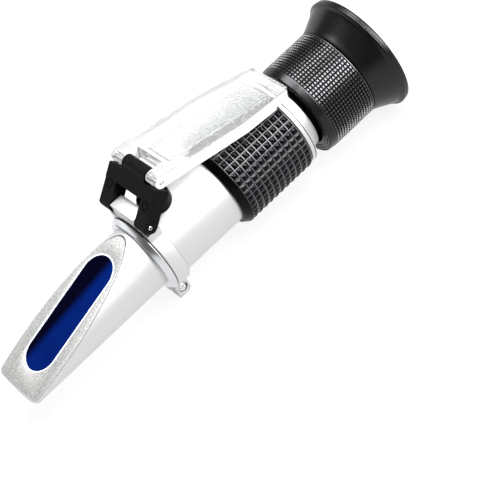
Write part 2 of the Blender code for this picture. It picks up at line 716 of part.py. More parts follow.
def make_cover_plate(finish):
    """The clear daylight plate: a slab with side rails, a recess and two ears."""
    top = COVER_FACE_LIFT
    rail_floor = top - COVER_RAIL_DEPTH
    end_floor = COVER_END_FLOOR
    recess_end = COVER_LENGTH - RECESS_END_MARGIN
    rail_end = recess_end - COVER_RAIL_SETBACK
    ear_middle = top - COVER_RAIL_DEPTH / 2
    outline = arc((0.0, ear_middle), COVER_RAIL_DEPTH / 2, pi / 2, 3 * pi / 2, 10)
    outline += [(rail_end, rail_floor), (rail_end, end_floor)]
    outline += [(COVER_LENGTH, end_floor), (COVER_LENGTH, top)]
    low = [on_cover(along, -COVER_HALF_WIDTH, level) for along, level in outline]
    high = [on_cover(along, COVER_HALF_WIDTH, level) for along, level in outline]
    plate = place(between("cover_plate", low, high), finish, COVER_PIVOT)
    past = COVER_HALF_WIDTH + CUT_OVERRUN
    cut_floor = rail_floor - CUT_OVERRUN
    cut_top = top + CUT_OVERRUN
    before = COVER_TAPER_START - CUT_OVERRUN
    beyond = COVER_LENGTH + CUT_OVERRUN
    corner_start = COVER_LENGTH - COVER_END_CORNER
    corner_side = cover_taper(corner_start)
    corner_drop = COVER_END_CORNER + CUT_OVERRUN
    for name, way in (("near_taper", -1), ("far_taper", 1)):
        taper = [
            (before, way * cover_taper(before)),
            (corner_start, way * corner_side),
            (beyond, way * (corner_side - corner_drop)),
            (beyond, way * past),
            (before, way * past),
        ]
        cut(plate, cover_layer(name, taper, cut_floor, cut_top))
    recess = [
        (RECESS_START, -RECESS_HALF_WIDTH),
        (recess_end, -RECESS_HALF_WIDTH),
        (recess_end, RECESS_HALF_WIDTH),
        (RECESS_START, RECESS_HALF_WIDTH),
    ]
    cut(plate, cover_layer("cover_recess", recess, cut_floor, top - COVER_SLAB))
    notch_side = KNUCKLE_HALF_WIDTH + HINGE_GAP
    notch = [
        (-COVER_RAIL_DEPTH, -notch_side),
        (COVER_NOTCH_DEPTH, -notch_side),
        (COVER_NOTCH_DEPTH, notch_side),
        (-COVER_RAIL_DEPTH, notch_side),
    ]
    cut(plate, cover_layer("cover_notch", notch, cut_floor, cut_top))
    sideways = Vector((0.0, 1.0, 0.0))
    pin_hole = COVER_PIN_RADIUS + SEAT_GAP
    cut(plate, round_bar("ear_hole", COVER_PIVOT, sideways, pin_hole, -past, past))
    return plate


def make_cover_pin(finish):
    """The thin pin through the cover's ears and the knuckle."""
    sideways = Vector((0.0, 1.0, 0.0))
    reach = COVER_HALF_WIDTH
    pin = round_bar("cover_pin", COVER_PIVOT, sideways, COVER_PIN_RADIUS, -reach, reach)
    return place(pin, finish, COVER_PIVOT)


# Lenses

def lens_profile(front, edge, radius, sag, steps=4):
    """The half section of a lens with two domed sides."""
    ball = (radius ** 2 + sag ** 2) / (2 * sag)
    reach = asin(radius / ball)
    profile = []
    for step in range(steps + 1):
        angle = reach * step / steps
        profile.append((front + sag - (ball * cos(angle) - (ball - sag)), ball * sin(angle)))
    back = front + 2 * sag + edge
    for step in range(steps, -1, -1):
        angle = reach * step / steps
        profile.append((back - sag + (ball * cos(angle) - (ball - sag)), ball * sin(angle)))
    profile[0] = (profile[0][0], 0.0)
    profile[-1] = (profile[-1][0], 0.0)
    return profile


def hollow_ring(start, length, inner, outer):
    """The section of a plain ring."""
    return [(start, inner), (start, outer), (start + length, outer), (start + length, inner)]


# Objective, temperature strip and reticle

CELL_START = SPIGOT_END + SEAT_GAP
CELL_END = CELL_START + CELL_LENGTH
OBJECTIVE_LENGTH = OBJECTIVE_EDGE + 2 * OBJECTIVE_SAG
OBJECTIVE_END = CELL_END - RETAINER_LENGTH - SEAT_GAP
OBJECTIVE_START = OBJECTIVE_END - OBJECTIVE_LENGTH
HOLDER_END = TUBE_END - COLLAR_SPIGOT_LENGTH - SEAT_GAP
HOLDER_START = HOLDER_END - RETICLE_HOLDER_LENGTH


def make_objective(finishes):
    """The cell just behind the nose, its lens and the ring that keeps it."""
    seat = OBJECTIVE_RADIUS + SEAT_GAP
    step_back = CELL_END - CELL_FLANGE_LENGTH
    cell = [
        (CELL_START, CELL_LIP_RADIUS),
        (CELL_START, CELL_FRONT_RADIUS),
        (step_back, CELL_FRONT_RADIUS),
        (step_back, INNER_FIT),
        (CELL_END, INNER_FIT),
        (CELL_END, seat),
        (OBJECTIVE_START - SEAT_GAP, seat),
        (OBJECTIVE_START - SEAT_GAP, CELL_LIP_RADIUS),
    ]
    place(turned("objective_cell", cell, FINE_FACETS), finishes["black_anodised"])
    lens = lens_profile(OBJECTIVE_START, OBJECTIVE_EDGE, OBJECTIVE_RADIUS, OBJECTIVE_SAG)
    place(turned("objective_lens", lens, FINE_FACETS), finishes["optical_glass"])
    start = CELL_END - RETAINER_LENGTH
    inner = OBJECTIVE_RADIUS - RETAINER_WIDTH
    ring = hollow_ring(start, RETAINER_LENGTH, inner, OBJECTIVE_RADIUS)
    place(turned("objective_retainer", ring, FINE_FACETS), finishes["black_anodised"])


def make_bimetal_strip(finish):
    """The strip that bends with temperature, from the cell back to the reticle holder."""
    low = (CELL_END + SEAT_GAP, -STRIP_WIDTH / 2, -STRIP_DROP - STRIP_THICKNESS)
    high = (HOLDER_START - SEAT_GAP, STRIP_WIDTH / 2, -STRIP_DROP)
    return place(block("bimetal_strip", low, high), finish)


def make_reticle(finishes):
    """The glass scale disc, its holder and the ring that keeps it."""
    seat = RETICLE_RADIUS + SEAT_GAP
    floor = HOLDER_START + RETICLE_LIP
    lip = RETICLE_RADIUS - RETICLE_LIP_WIDTH
    holder = [
        (HOLDER_START, lip),
        (HOLDER_START, INNER_FIT),
        (HOLDER_END, INNER_FIT),
        (HOLDER_END, seat),
        (floor, seat),
        (floor, lip),
    ]
    place(turned("reticle_holder", holder, FINE_FACETS), finishes["black_anodised"])
    disc_start = floor + SEAT_GAP
    disc_end = disc_start + RETICLE_THICKNESS
    disc = [(disc_start, 0.0), (disc_start, RETICLE_RADIUS), (disc_end, RETICLE_RADIUS), (disc_end, 0.0)]
    place(turned("reticle", disc, FINE_FACETS), finishes["optical_glass"])
    ring_start = disc_end + SEAT_GAP
    ring = hollow_ring(ring_start, HOLDER_END - ring_start, lip, RETICLE_RADIUS)
    place(turned("reticle_retainer", ring, FINE_FACETS), finishes["black_anodised"])


# Grip and collar

def make_rubber_grip(finish):
    """The rubber sleeve over the rear half of the tube, with a smooth bevelled front."""
    inner = TUBE_RADIUS + SEAT_GAP
    front_radius = GRIP_RADIUS - GRIP_BEVEL_DROP
    band_end = GRIP_START + GRIP_BAND
    profile = [
        (GRIP_START, inner),
        (GRIP_START, front_radius),
        (GRIP_START + GRIP_BEVEL, GRIP_RADIUS),
        (band_end, GRIP_RADIUS),
        (band_end, GRIP_RADIUS - GRIP_RELIEF),
        (TUBE_END - GRIP_RELIEF, GRIP_RADIUS - GRIP_RELIEF),
        (TUBE_END, GRIP_RADIUS - 2 * GRIP_RELIEF),
        (TUBE_END, inner),
    ]
    return place(turned("rubber_grip", profile), finish)


def collar_bore():
    """Radius of the bore in which the eyepiece slides."""
    return NECK_RADIUS - NECK_WALL


def make_rear_collar(finish):
    """The stepped bright collar that screws into the tube and carries the eyepiece."""
    bore = collar_bore()
    start = TUBE_END - COLLAR_SPIGOT_LENGTH
    profile = [
        (start, bore),
        (start, INNER_FIT),
        (COLLAR_START, INNER_FIT),
        (COLLAR_START, COLLAR_RADIUS),
        (COLLAR_END - COLLAR_CHAMFER, COLLAR_RADIUS),
        (COLLAR_END, COLLAR_RADIUS - COLLAR_CHAMFER),
        (COLLAR_END, NECK_RADIUS),
        (NECK_END, NECK_RADIUS),
        (NECK_END, bore),
    ]
    return place(turned("rear_collar", profile), finish)


# Eyepiece

BARREL_RADIUS = NECK_RADIUS - NECK_WALL - SEAT_GAP
BARREL_BORE = BARREL_RADIUS - BARREL_WALL
BARREL_START = NECK_END - BARREL_REACH
BARREL_END = EYECUP_START + BARREL_TAIL
LENS_RADIUS = BARREL_BORE - SEAT_GAP
GROOVE_START = BARREL_START + O_RING_INSET
GROOVE_RADIUS = BARREL_RADIUS - O_RING_THICKNESS - SEAT_GAP
FIELD_LENS_START = BARREL_START + BARREL_LIP_LENGTH + SEAT_GAP
FIELD_LENS_END = FIELD_LENS_START + FIELD_LENS_EDGE + 2 * FIELD_LENS_SAG
EYE_RETAINER_START = BARREL_END - RETAINER_LENGTH
EYE_LENS_END = EYE_RETAINER_START - SEAT_GAP
EYE_LENS_START = EYE_LENS_END - EYE_LENS_EDGE - 2 * EYE_LENS_SAG


def make_eyepiece_barrel(finish):
    """The sliding tube that holds the two lenses, with a groove for its O-ring."""
    lip = BARREL_BORE - BARREL_LIP
    groove_end = GROOVE_START + O_RING_WIDTH + 2 * SEAT_GAP
    profile = [
        (BARREL_START, lip),
        (BARREL_START, BARREL_RADIUS),
        (GROOVE_START, BARREL_RADIUS),
        (GROOVE_START, GROOVE_RADIUS),
        (groove_end, GROOVE_RADIUS),
        (groove_end, BARREL_RADIUS),
        (BARREL_END, BARREL_RADIUS),
        (BARREL_END, BARREL_BORE),
        (BARREL_START + BARREL_LIP_LENGTH, BARREL_BORE),
        (BARREL_START + BARREL_LIP_LENGTH, lip),
    ]
    return place(turned("eyepiece_barrel", profile), finish)


def make_focus_o_ring(finish):
    """The rubber ring that slides in the collar and gives the focus its drag."""
    start = GROOVE_START + SEAT_GAP
    inner = GROOVE_RADIUS + SEAT_GAP
    outer = inner + O_RING_THICKNESS
    ring = hollow_ring(start, O_RING_WIDTH, inner, outer)
    return place(turned("focus_o_ring", ring), finish)


def make_eyepiece_lenses(finishes):
    """The field lens, the spacer, the eye lens and the ring that keeps them."""
    field = lens_profile(FIELD_LENS_START, FIELD_LENS_EDGE, LENS_RADIUS, FIELD_LENS_SAG)
    place(turned("field_lens", field, FINE_FACETS), finishes["optical_glass"])
    eye = lens_profile(EYE_LENS_START, EYE_LENS_EDGE, LENS_RADIUS, EYE_LENS_SAG)
    place(turned("eye_lens", eye, FINE_FACETS), finishes["optical_glass"])
    start = FIELD_LENS_END + SEAT_GAP
    length = EYE_LENS_START - SEAT_GAP - start
    spacer = hollow_ring(start, length, LENS_RADIUS - SPACER_WALL, LENS_RADIUS)
    place(turned("lens_spacer", spacer, FINE_FACETS), finishes["black_anodised"])
    inner = LENS_RADIUS - RETAINER_WIDTH
    ring = hollow_ring(EYE_RETAINER_START, RETAINER_LENGTH, inner, LENS_RADIUS)
    place(turned("eye_lens_retainer", ring, FINE_FACETS), finishes["black_anodised"])


def make_focus_ring(finish):
    """The knurled ring that is turned to focus; its front pocket slides over the neck."""
    pocket = NECK_RADIUS + SEAT_GAP
    bore = BARREL_RADIUS + SEAT_GAP
    pocket_end = FOCUS_START + FOCUS_POCKET_DEPTH
    profile = [
        (FOCUS_START, pocket),
        (FOCUS_START, FOCUS_FRONT_RADIUS),
        (FOCUS_START + FOCUS_FRONT_BEVEL, FOCUS_RING_RADIUS),
        (FOCUS_END, FOCUS_RING_RADIUS),
        (FOCUS_END, bore),
        (pocket_end, bore),
        (pocket_end, pocket),
    ]
    return place(turned("focus_ring", profile), finish)


def make_eyecup(finishes):
    """The flared rubber cup, held to the barrel by a thin ring inside it."""
    bore = BARREL_RADIUS + SEAT_GAP
    rim_start = OVERALL_LENGTH - EYECUP_RIM_LENGTH
    base_end = EYECUP_START + EYECUP_BASE_THICKNESS
    middle_x = (EYECUP_START + rim_start) / 2
    middle_radius = (EYECUP_BASE_RADIUS + EYECUP_FLARE_RADIUS) / 2 + SEAT_GAP
    profile = [
        (EYECUP_START, bore),
        (EYECUP_START, EYECUP_BASE_RADIUS),
        (middle_x, middle_radius),
        (rim_start, EYECUP_FLARE_RADIUS),
        (rim_start + EYECUP_RIM_CHAMFER, EYECUP_RIM_RADIUS),
        (OVERALL_LENGTH - EYECUP_RIM_CHAMFER / 2, EYECUP_RIM_RADIUS),
        (OVERALL_LENGTH, EYECUP_RIM_RADIUS - EYECUP_RIM_CHAMFER / 2),
        (OVERALL_LENGTH, EYECUP_RIM_RADIUS - EYECUP_WALL),
        (rim_start, EYECUP_FLARE_RADIUS - EYECUP_WALL),
        (base_end, EYECUP_BASE_RADIUS - EYECUP_WALL),
        (base_end, bore),
    ]
    place(turned("eyecup", profile), finishes["black_rubber"])
    start = base_end + SEAT_GAP
    length = EYECUP_RING_LENGTH
    ring = hollow_ring(start, length, bore, bore + EYECUP_RING_WIDTH)
    place(turned("eyecup_ring", ring), finishes["black_anodised"])


def clear_scene():
    for thing in list(bpy.data.objects):
        bpy.data.objects.remove(thing)


def build():
    clear_scene()
    finishes = make_materials()
    make_prism_housing(finishes["satin_aluminium"])
    make_main_prism(finishes["blue_prism"])
    make_prism_seal(finishes["white_seal"])
    make_clamp_ring(finishes["satin_aluminium"])
    make_clamp_screw(finishes["steel"])
    make_main_tube(finishes["satin_aluminium"])
    make_calibration_screw(finishes["brass"])
    make_calibration_cap(finishes["black_rubber"])
    make_hinge_bracket(finishes["black_plastic"])
    make_hinge_pin(finishes["steel"])
    make_cover_plate(finishes["clear_acrylic"])
    make_cover_pin(finishes["steel"])
    make_objective(finishes)
    make_bimetal_strip(finishes["brass"])
    make_reticle(finishes)
    make_rubber_grip(finishes["black_rubber"])
    make_rear_collar(finishes["satin_aluminium"])
    make_eyepiece_barrel(finishes["black_anodised"])
    make_focus_o_ring(finishes["black_rubber"])
    make_eyepiece_lenses(finishes)
    make_focus_ring(finishes["black_anodised"])
    make_eyecup(finishes)


build()
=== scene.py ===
# %% [markdown]
# # A handheld antifreeze tester
# The tester is a small refractometer: a slanted nose with a blue prism window, a bright
# tube, a rubber grip and a turning eyepiece. Its clear cover is folded back on a black
# hinge link. This lesson dresses a finished engineering model of it, which moves and
# has the right sizes, with finer meshes and surfaces. The first cell loads that model
# and remembers its box, because the fine pieces have to stay inside it.

# %% Load the engineering model
import json
from math import asin, cos, pi, radians, sin, sqrt, tan

import bmesh
import bpy
from mathutils import Matrix, Vector

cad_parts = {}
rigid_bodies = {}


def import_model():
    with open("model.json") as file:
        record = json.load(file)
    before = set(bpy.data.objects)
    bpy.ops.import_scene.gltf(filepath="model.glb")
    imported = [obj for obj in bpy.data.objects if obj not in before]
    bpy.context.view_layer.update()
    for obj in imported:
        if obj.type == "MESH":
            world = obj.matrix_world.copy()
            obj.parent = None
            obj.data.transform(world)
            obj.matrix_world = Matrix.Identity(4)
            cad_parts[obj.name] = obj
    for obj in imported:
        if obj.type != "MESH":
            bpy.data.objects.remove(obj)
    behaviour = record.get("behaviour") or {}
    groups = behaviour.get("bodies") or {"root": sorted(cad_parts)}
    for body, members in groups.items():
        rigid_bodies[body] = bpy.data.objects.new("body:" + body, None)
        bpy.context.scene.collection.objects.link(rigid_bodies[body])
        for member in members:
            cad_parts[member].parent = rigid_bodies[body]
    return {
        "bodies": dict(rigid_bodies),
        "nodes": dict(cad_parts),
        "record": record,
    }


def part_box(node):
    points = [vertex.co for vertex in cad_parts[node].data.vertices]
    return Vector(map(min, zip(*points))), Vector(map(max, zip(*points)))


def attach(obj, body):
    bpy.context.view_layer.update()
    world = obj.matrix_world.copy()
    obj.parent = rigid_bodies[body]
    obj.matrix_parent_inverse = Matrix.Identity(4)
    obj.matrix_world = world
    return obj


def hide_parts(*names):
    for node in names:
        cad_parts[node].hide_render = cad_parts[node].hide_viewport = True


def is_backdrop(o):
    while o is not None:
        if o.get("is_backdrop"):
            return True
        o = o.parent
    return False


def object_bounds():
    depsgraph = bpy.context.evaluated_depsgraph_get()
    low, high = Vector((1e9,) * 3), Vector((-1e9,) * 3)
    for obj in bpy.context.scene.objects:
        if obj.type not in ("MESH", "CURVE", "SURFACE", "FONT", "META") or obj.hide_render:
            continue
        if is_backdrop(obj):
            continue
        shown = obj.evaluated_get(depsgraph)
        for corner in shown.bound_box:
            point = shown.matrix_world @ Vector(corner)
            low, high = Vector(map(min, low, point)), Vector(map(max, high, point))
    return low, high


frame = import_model()
CAD_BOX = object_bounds()
print("nodes:", len(frame["nodes"]), "bodies:", len(frame["bodies"]))

# %% [markdown]
# Everything turned on a lathe shares one axis, so the first thing to find is that axis.
# The eyecup is the widest turned piece and the tester lies on it, so its box is centred
# on the axis. Each other place along the tube is read from the box of its own node.

# %% Find the axis and the places along it
CUP_LOW, CUP_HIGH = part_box("eyecup")
AXIS_Z = (CUP_LOW.z + CUP_HIGH.z) / 2
CUP_RADIUS = (CUP_HIGH.z - CUP_LOW.z) / 2
CENTRE_LINE = Vector((0.0, 0.0, AXIS_Z))
SIDEWAYS = Vector((0.0, 1.0, 0.0))
UPWARDS = Vector((0.0, 0.0, 1.0))


def span(node):
    """Where a node starts and ends along the tube, and its radius."""
    low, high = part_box(node)
    return low.x, high.x, (high.y - low.y) / 2


NOSE_START, _, FLANGE_RADIUS = span("prism_housing")
RING_START, RING_END, _ = span("clamp_ring")
TUBE_START, TUBE_END, TUBE_RADIUS = span("main_tube")
GRIP_START, GRIP_END, GRIP_RADIUS = span("rubber_grip")
COLLAR_INNER_START, NECK_END, COLLAR_RADIUS = span("rear_collar")
FOCUS_START, FOCUS_END, FOCUS_RADIUS = span("focus_ring")
CUP_START, CUP_END, _ = span("eyecup")
BARREL_START, BARREL_END, BARREL_RADIUS = span("eyepiece_barrel")
print("axis height", round(AXIS_Z, 5), "tube radius", round(TUBE_RADIUS, 5))

# %% [markdown]
# The camera comes early, because each later step is seen through it. It was found by
# matching the turned rings of the photograph: it stands about 0.6 m away, looks down
# at the tester from the front left, and is rolled so that the tube runs up to the
# right across the picture. A long lens at that distance gives the gentle perspective
# that product pictures have. Two unit vectors describe how it is tipped.

# %% Place the camera
LENS_DISTANCE = 0.620
LENS_FOCAL_MM = 137.1
SENSOR_MM = 36.0
LOOK_TURN = radians(13.43)
LOOK_TILT = radians(44.62)
PICTURE_ROLL = radians(43.62)
AIM_ALONG = 0.08601
AIM_BELOW = 0.02153


def camera_axes():
    """Unit vectors towards the camera, along the tube as seen, and down across it."""
    towards = Vector((
        -sin(LOOK_TURN),
        -cos(LOOK_TURN) * sin(LOOK_TILT),
        cos(LOOK_TURN) * cos(LOOK_TILT),
    ))
    across = Vector((0.0, -cos(LOOK_TILT), -sin(LOOK_TILT)))
    along = towards.cross(across)
    return towards, along, across


def put_in_scene(name, data):
    """A new object for a camera, a lamp or a mesh."""
    made = bpy.data.objects.new(name, data)
    bpy.context.scene.collection.objects.link(made)
    return made


def place_camera():
    """A camera that sees the tester as the photograph does."""
    towards, along, across = camera_axes()
    aim = CENTRE_LINE + Vector((NOSE_START + AIM_ALONG, 0.0, 0.0)) + across * AIM_BELOW
    right = along * cos(PICTURE_ROLL) + across * sin(PICTURE_ROLL)
    up = along * sin(PICTURE_ROLL) - across * cos(PICTURE_ROLL)
    lens = bpy.data.cameras.new("photo_camera")
    lens.sensor_fit = "HORIZONTAL"
    lens.sensor_width = SENSOR_MM
    lens.lens = LENS_FOCAL_MM
    camera = put_in_scene("photo_camera", lens)
    turn = Matrix((right, up, towards)).transposed()
    camera.matrix_world = Matrix.Translation(aim + towards * LENS_DISTANCE) @ turn.to_4x4()
    bpy.context.scene.camera = camera
    return camera


PHOTO_CAMERA = place_camera()
print("camera at", [round(value, 3) for value in PHOTO_CAMERA.matrix_world.translation])

# %% [markdown]
# Shader maths is easier to read as Python than as a web of wires. A Wire holds one
# socket, and arithmetic on it adds Math nodes, so that 1 - mask or noise * 0.2 builds
# the nodes. A Board adds nodes of any kind to one node tree. The same two classes
# serve the materials and, later on, the Geometry Nodes trees.

# %% Write node trees as Python
class Wire:
    """One output socket. Arithmetic on it adds Math nodes."""

    def __init__(self, board, socket):
        self.board = board
        self.socket = socket

    def math(self, operation, *values):
        kind = "ShaderNodeMath"
        return self.board.node(kind, {"operation": operation}, dict(enumerate(values)))[0]

    def __add__(self, other):
        return self.math("ADD", self, other)

    def __radd__(self, other):
        return self.math("ADD", other, self)

    def __sub__(self, other):
        return self.math("SUBTRACT", self, other)

    def __rsub__(self, other):
        return self.math("SUBTRACT", other, self)

    def __mul__(self, other):
        return self.math("MULTIPLY", self, other)

    def __rmul__(self, other):
        return self.math("MULTIPLY", other, self)

    def __truediv__(self, other):
        return self.math("DIVIDE", self, other)

    def __mod__(self, other):
        return self.math("FLOORED_MODULO", self, other)

    def power(self, other):
        return self.math("POWER", self, other)


class Step:
    """A node that was added, whose outputs are read by name or number as Wires."""

    def __init__(self, board, node):
        self.board = board
        self.node = node

    def __getitem__(self, key):
        return Wire(self.board, self.node.outputs[key])


class Board:
    """Adds nodes to one tree."""

    def __init__(self, tree):
        self.tree = tree

    def node(self, kind, settings=None, sockets=None):
        """Any node: its settings are set first, then the values or links of its sockets."""
        made = self.tree.nodes.new(kind)
        for name, value in (settings or {}).items():
            setattr(made, name, value)
        for key, value in (sockets or {}).items():
            if isinstance(value, Wire):
                self.tree.links.new(value.socket, made.inputs[key])
            else:
                made.inputs[key].default_value = value
        return Step(self, made)

    def part_of(self, wire, low, high, curve="LINEAR"):
        """0 below low and 1 above high, with a ramp between them."""
        settings = {"clamp": True, "interpolation_type": curve}
        sockets = {"Value": wire, "From Min": low, "From Max": high}
        return self.node("ShaderNodeMapRange", settings, sockets)["Result"]


print("node helpers ready")

# %% [markdown]
# A finish is a Principled material with a few ready patterns. Patterns read Object
# coordinates, turned into millimetres first, so that a noise scale of 2 means two
# grains to a millimetre. The pieces all sit at the origin, so one pattern runs on
# unbroken from one piece to the next, as it would on a real turned part.

# %% Describe a finish
MM_PER_M = 1000.0


class Finish(Board):
    """A Principled material and the patterns that its surface can use.

    The colour and the roughness given first hold until a pattern takes their place.
    """

    def __init__(self, name, colour, roughness, metallic=0.0, **constants):
        self.material = bpy.data.materials.new(name)
        self.material.use_nodes = True
        super().__init__(self.material.node_tree)
        self.shader = self.tree.nodes["Principled BSDF"]
        self.set("Base Color", (*colour, 1.0))
        self.set("Roughness", roughness)
        self.set("Metallic", metallic)
        for socket, value in constants.items():
            self.set(socket.replace("_", " "), value)
        # Blender's solid view shows this plain colour.
        self.material.diffuse_color = (*colour, 1.0)

    def set(self, socket, value):
        """Sets or links one of the shader's own sockets."""
        if isinstance(value, Wire):
            self.tree.links.new(value.socket, self.shader.inputs[socket])
        else:
            self.shader.inputs[socket].default_value = value

    def place(self, stretch=(1.0, 1.0, 1.0)):
        """Where a point is, in millimetres, with each axis scaled by its stretch."""
        scale = tuple(MM_PER_M * share for share in stretch)
        spot = self.node("ShaderNodeTexCoord")["Object"]
        mapped = self.node("ShaderNodeMapping", None, {"Vector": spot, "Scale": scale})
        return mapped["Vector"]

    def grain(self, per_mm, detail=2.0, stretch=(1.0, 1.0, 1.0)):
        """A noise with so many grains to a millimetre, from 0 to 1."""
        sockets = {"Vector": self.place(stretch), "Scale": per_mm, "Detail": detail}
        return self.node("ShaderNodeTexNoise", None, sockets)["Fac"]

    def spot(self):
        """Where a point is, in millimetres, with each axis on an output of its own."""
        return self.node("ShaderNodeSeparateXYZ", None, {0: self.place()})

    def height_over(self, point, normal):
        """How many millimetres a point lies over a plane that slopes along the tube."""
        spot = self.spot()
        foot = point * MM_PER_M
        return (spot["X"] - foot.x) * normal.x + (spot["Z"] - foot.z) * normal.z

    def mix(self, share, first, second):
        """One colour where share is 0 and the other where it is 1."""
        sockets = {0: share}
        for key, colour in ((6, first), (7, second)):
            sockets[key] = colour if isinstance(colour, Wire) else (*colour, 1.0)
        return self.node("ShaderNodeMix", {"data_type": "RGBA"}, sockets)[2]

    def bump(self, height, depth_mm, strength=1.0):
        """Raises the surface by so many millimetres where height is 1."""
        sockets = {"Strength": strength, "Distance": depth_mm / MM_PER_M, "Height": height}
        self.set("Normal", self.node("ShaderNodeBump", None, sockets)["Normal"])


print("finishes can be mixed")

# %% [markdown]
# Bright metal shows what it mirrors, and black rubber stays black only where it mirrors
# little. So the room is dark, the floor is a sheet of opal glass lit a little from below
# as on a light table, which keeps the shadows pale, and behind it a low white backdrop
# rises. Two softboxes do the rest: a square one overhead draws the upper streak on the
# round pieces, and a tall strip at the front right lights the grooves of the grip and
# the studs of the ring. Softboxes were chosen over a sun, whose streaks would be hard.

# %% Light the room
FLOOR_HALF = 3.0
FLOOR_COLOUR = (0.12, 0.12, 0.12)
FLOOR_GLOW = 0.73
ROOM_GLOW = 0.16
BACKDROP_GLOW = 1.15
BACKDROP_TOP = (0.30, 0.45)
BACKDROP_SIDE = (0.0, 0.5)
WHITE = (1.0, 1.0, 1.0, 1.0)
LAMPS = {
    "overhead_softbox": {
        "place": (0.12, 0.115, 0.62), "width": 0.40, "length": 0.33, "power": 3.9,
    },
    "front_strip": {
        "place": (0.24, -0.405, 0.53), "width": 0.20, "length": 0.76, "power": 6.6,
    },
}


def lay_floor():
    """The glowing sheet that the tester lies on."""
    corners = [(-1, -1), (1, -1), (1, 1), (-1, 1)]
    mesh = bpy.data.meshes.new("studio_floor")
    points = [(x * FLOOR_HALF, y * FLOOR_HALF, 0.0) for x, y in corners]
    mesh.from_pydata(points, [], [(0, 1, 2, 3)])
    sheet = put_in_scene("studio_floor", mesh)
    opal = Finish("opal_floor", FLOOR_COLOUR, 0.9, Specular_IOR_Level=0.1)
    opal.set("Emission Color", WHITE)
    opal.set("Emission Strength", FLOOR_GLOW)
    mesh.materials.append(opal.material)
    sheet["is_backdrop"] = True
    return sheet


def hang_lamp(name, place, width, length, power):
    """A softbox that faces the middle of the tester, with its length upwards."""
    light = bpy.data.lights.new(name, "AREA")
    light.shape = "RECTANGLE"
    light.size = width
    light.size_y = length
    light.energy = power
    lamp = put_in_scene(name, light)
    back = (Vector(place) - CENTRE_LINE).normalized()
    turn = back.to_track_quat("Z", "Y").to_matrix()
    lamp.matrix_world = Matrix.Translation(place) @ turn.to_4x4()
    return lamp


def fill_room():
    """A dark room with a white backdrop that rises behind the tester."""
    sky = bpy.data.worlds.new("studio_room")
    sky.use_nodes = True
    board = Board(sky.node_tree)
    spot = board.node("ShaderNodeTexCoord")["Generated"]
    way = board.node("ShaderNodeSeparateXYZ", None, {0: spot})
    above = board.part_of(way["Z"], *BACKDROP_TOP, "SMOOTHSTEP")
    behind = board.part_of(way["Y"], *BACKDROP_SIDE, "SMOOTHSTEP")
    paper = (1 - above) * behind
    glow = ROOM_GLOW + paper * (BACKDROP_GLOW - ROOM_GLOW)
    background = sky.node_tree.nodes["Background"]
    background.inputs["Color"].default_value = WHITE
    sky.node_tree.links.new(glow.socket, background.inputs["Strength"])
    bpy.context.scene.world = sky


bpy.context.scene.view_settings.view_transform = "Standard"
bpy.context.scene.view_settings.look = "Medium High Contrast"
lay_floor()
fill_room()
for lamp_name, lamp in LAMPS.items():
    hang_lamp(lamp_name, **lamp)
print("lamps:", ", ".join(LAMPS))

# %% [markdown]
# The nose, the clamp ring, the tube and the collar are aluminium, turned on a lathe
# and then blasted finely, so they shine softly and show very faint rings. The rings
# are a noise that varies along the tube only. The slanted face is blasted coarser:
# in the photograph it is a speckled grey beside the smooth white tube, so it gets the
# same metal with a deeper, rounder grain. The flange's cone is left bright from the
# lathe, and the clamp ring's edges get a darker metal as painted shade.

# %% Mix the metals
SATIN_GREY = (0.67, 0.67, 0.665)
LATHE_RINGS = (1.0, 0.02, 0.02)
LENGTHWISE = (1.0, 0.15, 1.0)


def satin_aluminium(name):
    """Fine turned and blasted aluminium, to which a piece can add its own marks."""
    finish = Finish(name, SATIN_GREY, 0.40, 1.0)
    rings = finish.grain(2.5, 3.0, LATHE_RINGS)
    speck = finish.grain(5.0, 1.0)
    finish.set("Roughness", 0.52 + rings * 0.08 + speck * 0.04)
    finish.bump(rings * 0.6 + speck * 0.4, 0.006)
    return finish


def turned_aluminium():
    """The flange's cone, left bright from the lathe."""
    finish = Finish("turned_aluminium", (0.66, 0.67, 0.70), 0.20, 1.0)
    rings = finish.grain(3.0, 3.0, LATHE_RINGS)
    finish.set("Roughness", 0.16 + rings * 0.14)
    finish.bump(rings, 0.006)
    return finish.material


def blasted_aluminium():
    """The coarser, speckled face round the window."""
    finish = Finish("blasted_aluminium", (0.84, 0.84, 0.83), 0.65, 1.0)
    coarse = finish.grain(2.2, 3.0)
    fine = finish.grain(6.0, 1.0)
    pits = finish.part_of(coarse, 0.38, 0.62)
    finish.set("Base Color", finish.mix(pits, (0.52, 0.52, 0.51), (0.76, 0.76, 0.75)))
    finish.set("Roughness", 0.50 + fine * 0.16)
    finish.bump(coarse * 0.7 + fine * 0.3, 0.06)
    return finish.material


def burnished_edge():
    """The clamp ring's edges, darkened as painted shade beside its bright faces."""
    finish = Finish("burnished_edge", (0.30, 0.30, 0.30), 0.35, 1.0)
    shade_mottle = finish.grain(1.5, 2.0)
    # The painted shade varies at random between two greys.
    finish.set("Base Color", finish.mix(shade_mottle, (0.20, 0.20, 0.20), (0.45, 0.45, 0.45)))
    return finish.material


def turned_steel():
    """The pins and the clamp screw."""
    finish = Finish("turned_steel", (0.78, 0.77, 0.75), 0.25, 1.0)
    scratch = finish.grain(4.0, 2.0, LENGTHWISE)
    finish.set("Roughness", 0.18 + scratch * 0.20)
    finish.bump(scratch, 0.004)
    return finish.material


def worn_brass():
    """The calibration screw and the temperature strip."""
    finish = Finish("worn_brass", (0.72, 0.52, 0.22), 0.30, 1.0)
    cloud = finish.grain(1.2, 3.0)
    finish.set("Base Color", finish.mix(cloud, (0.60, 0.42, 0.17), (0.80, 0.60, 0.28)))
    finish.set("Roughness", 0.22 + cloud * 0.20)
    return finish.material


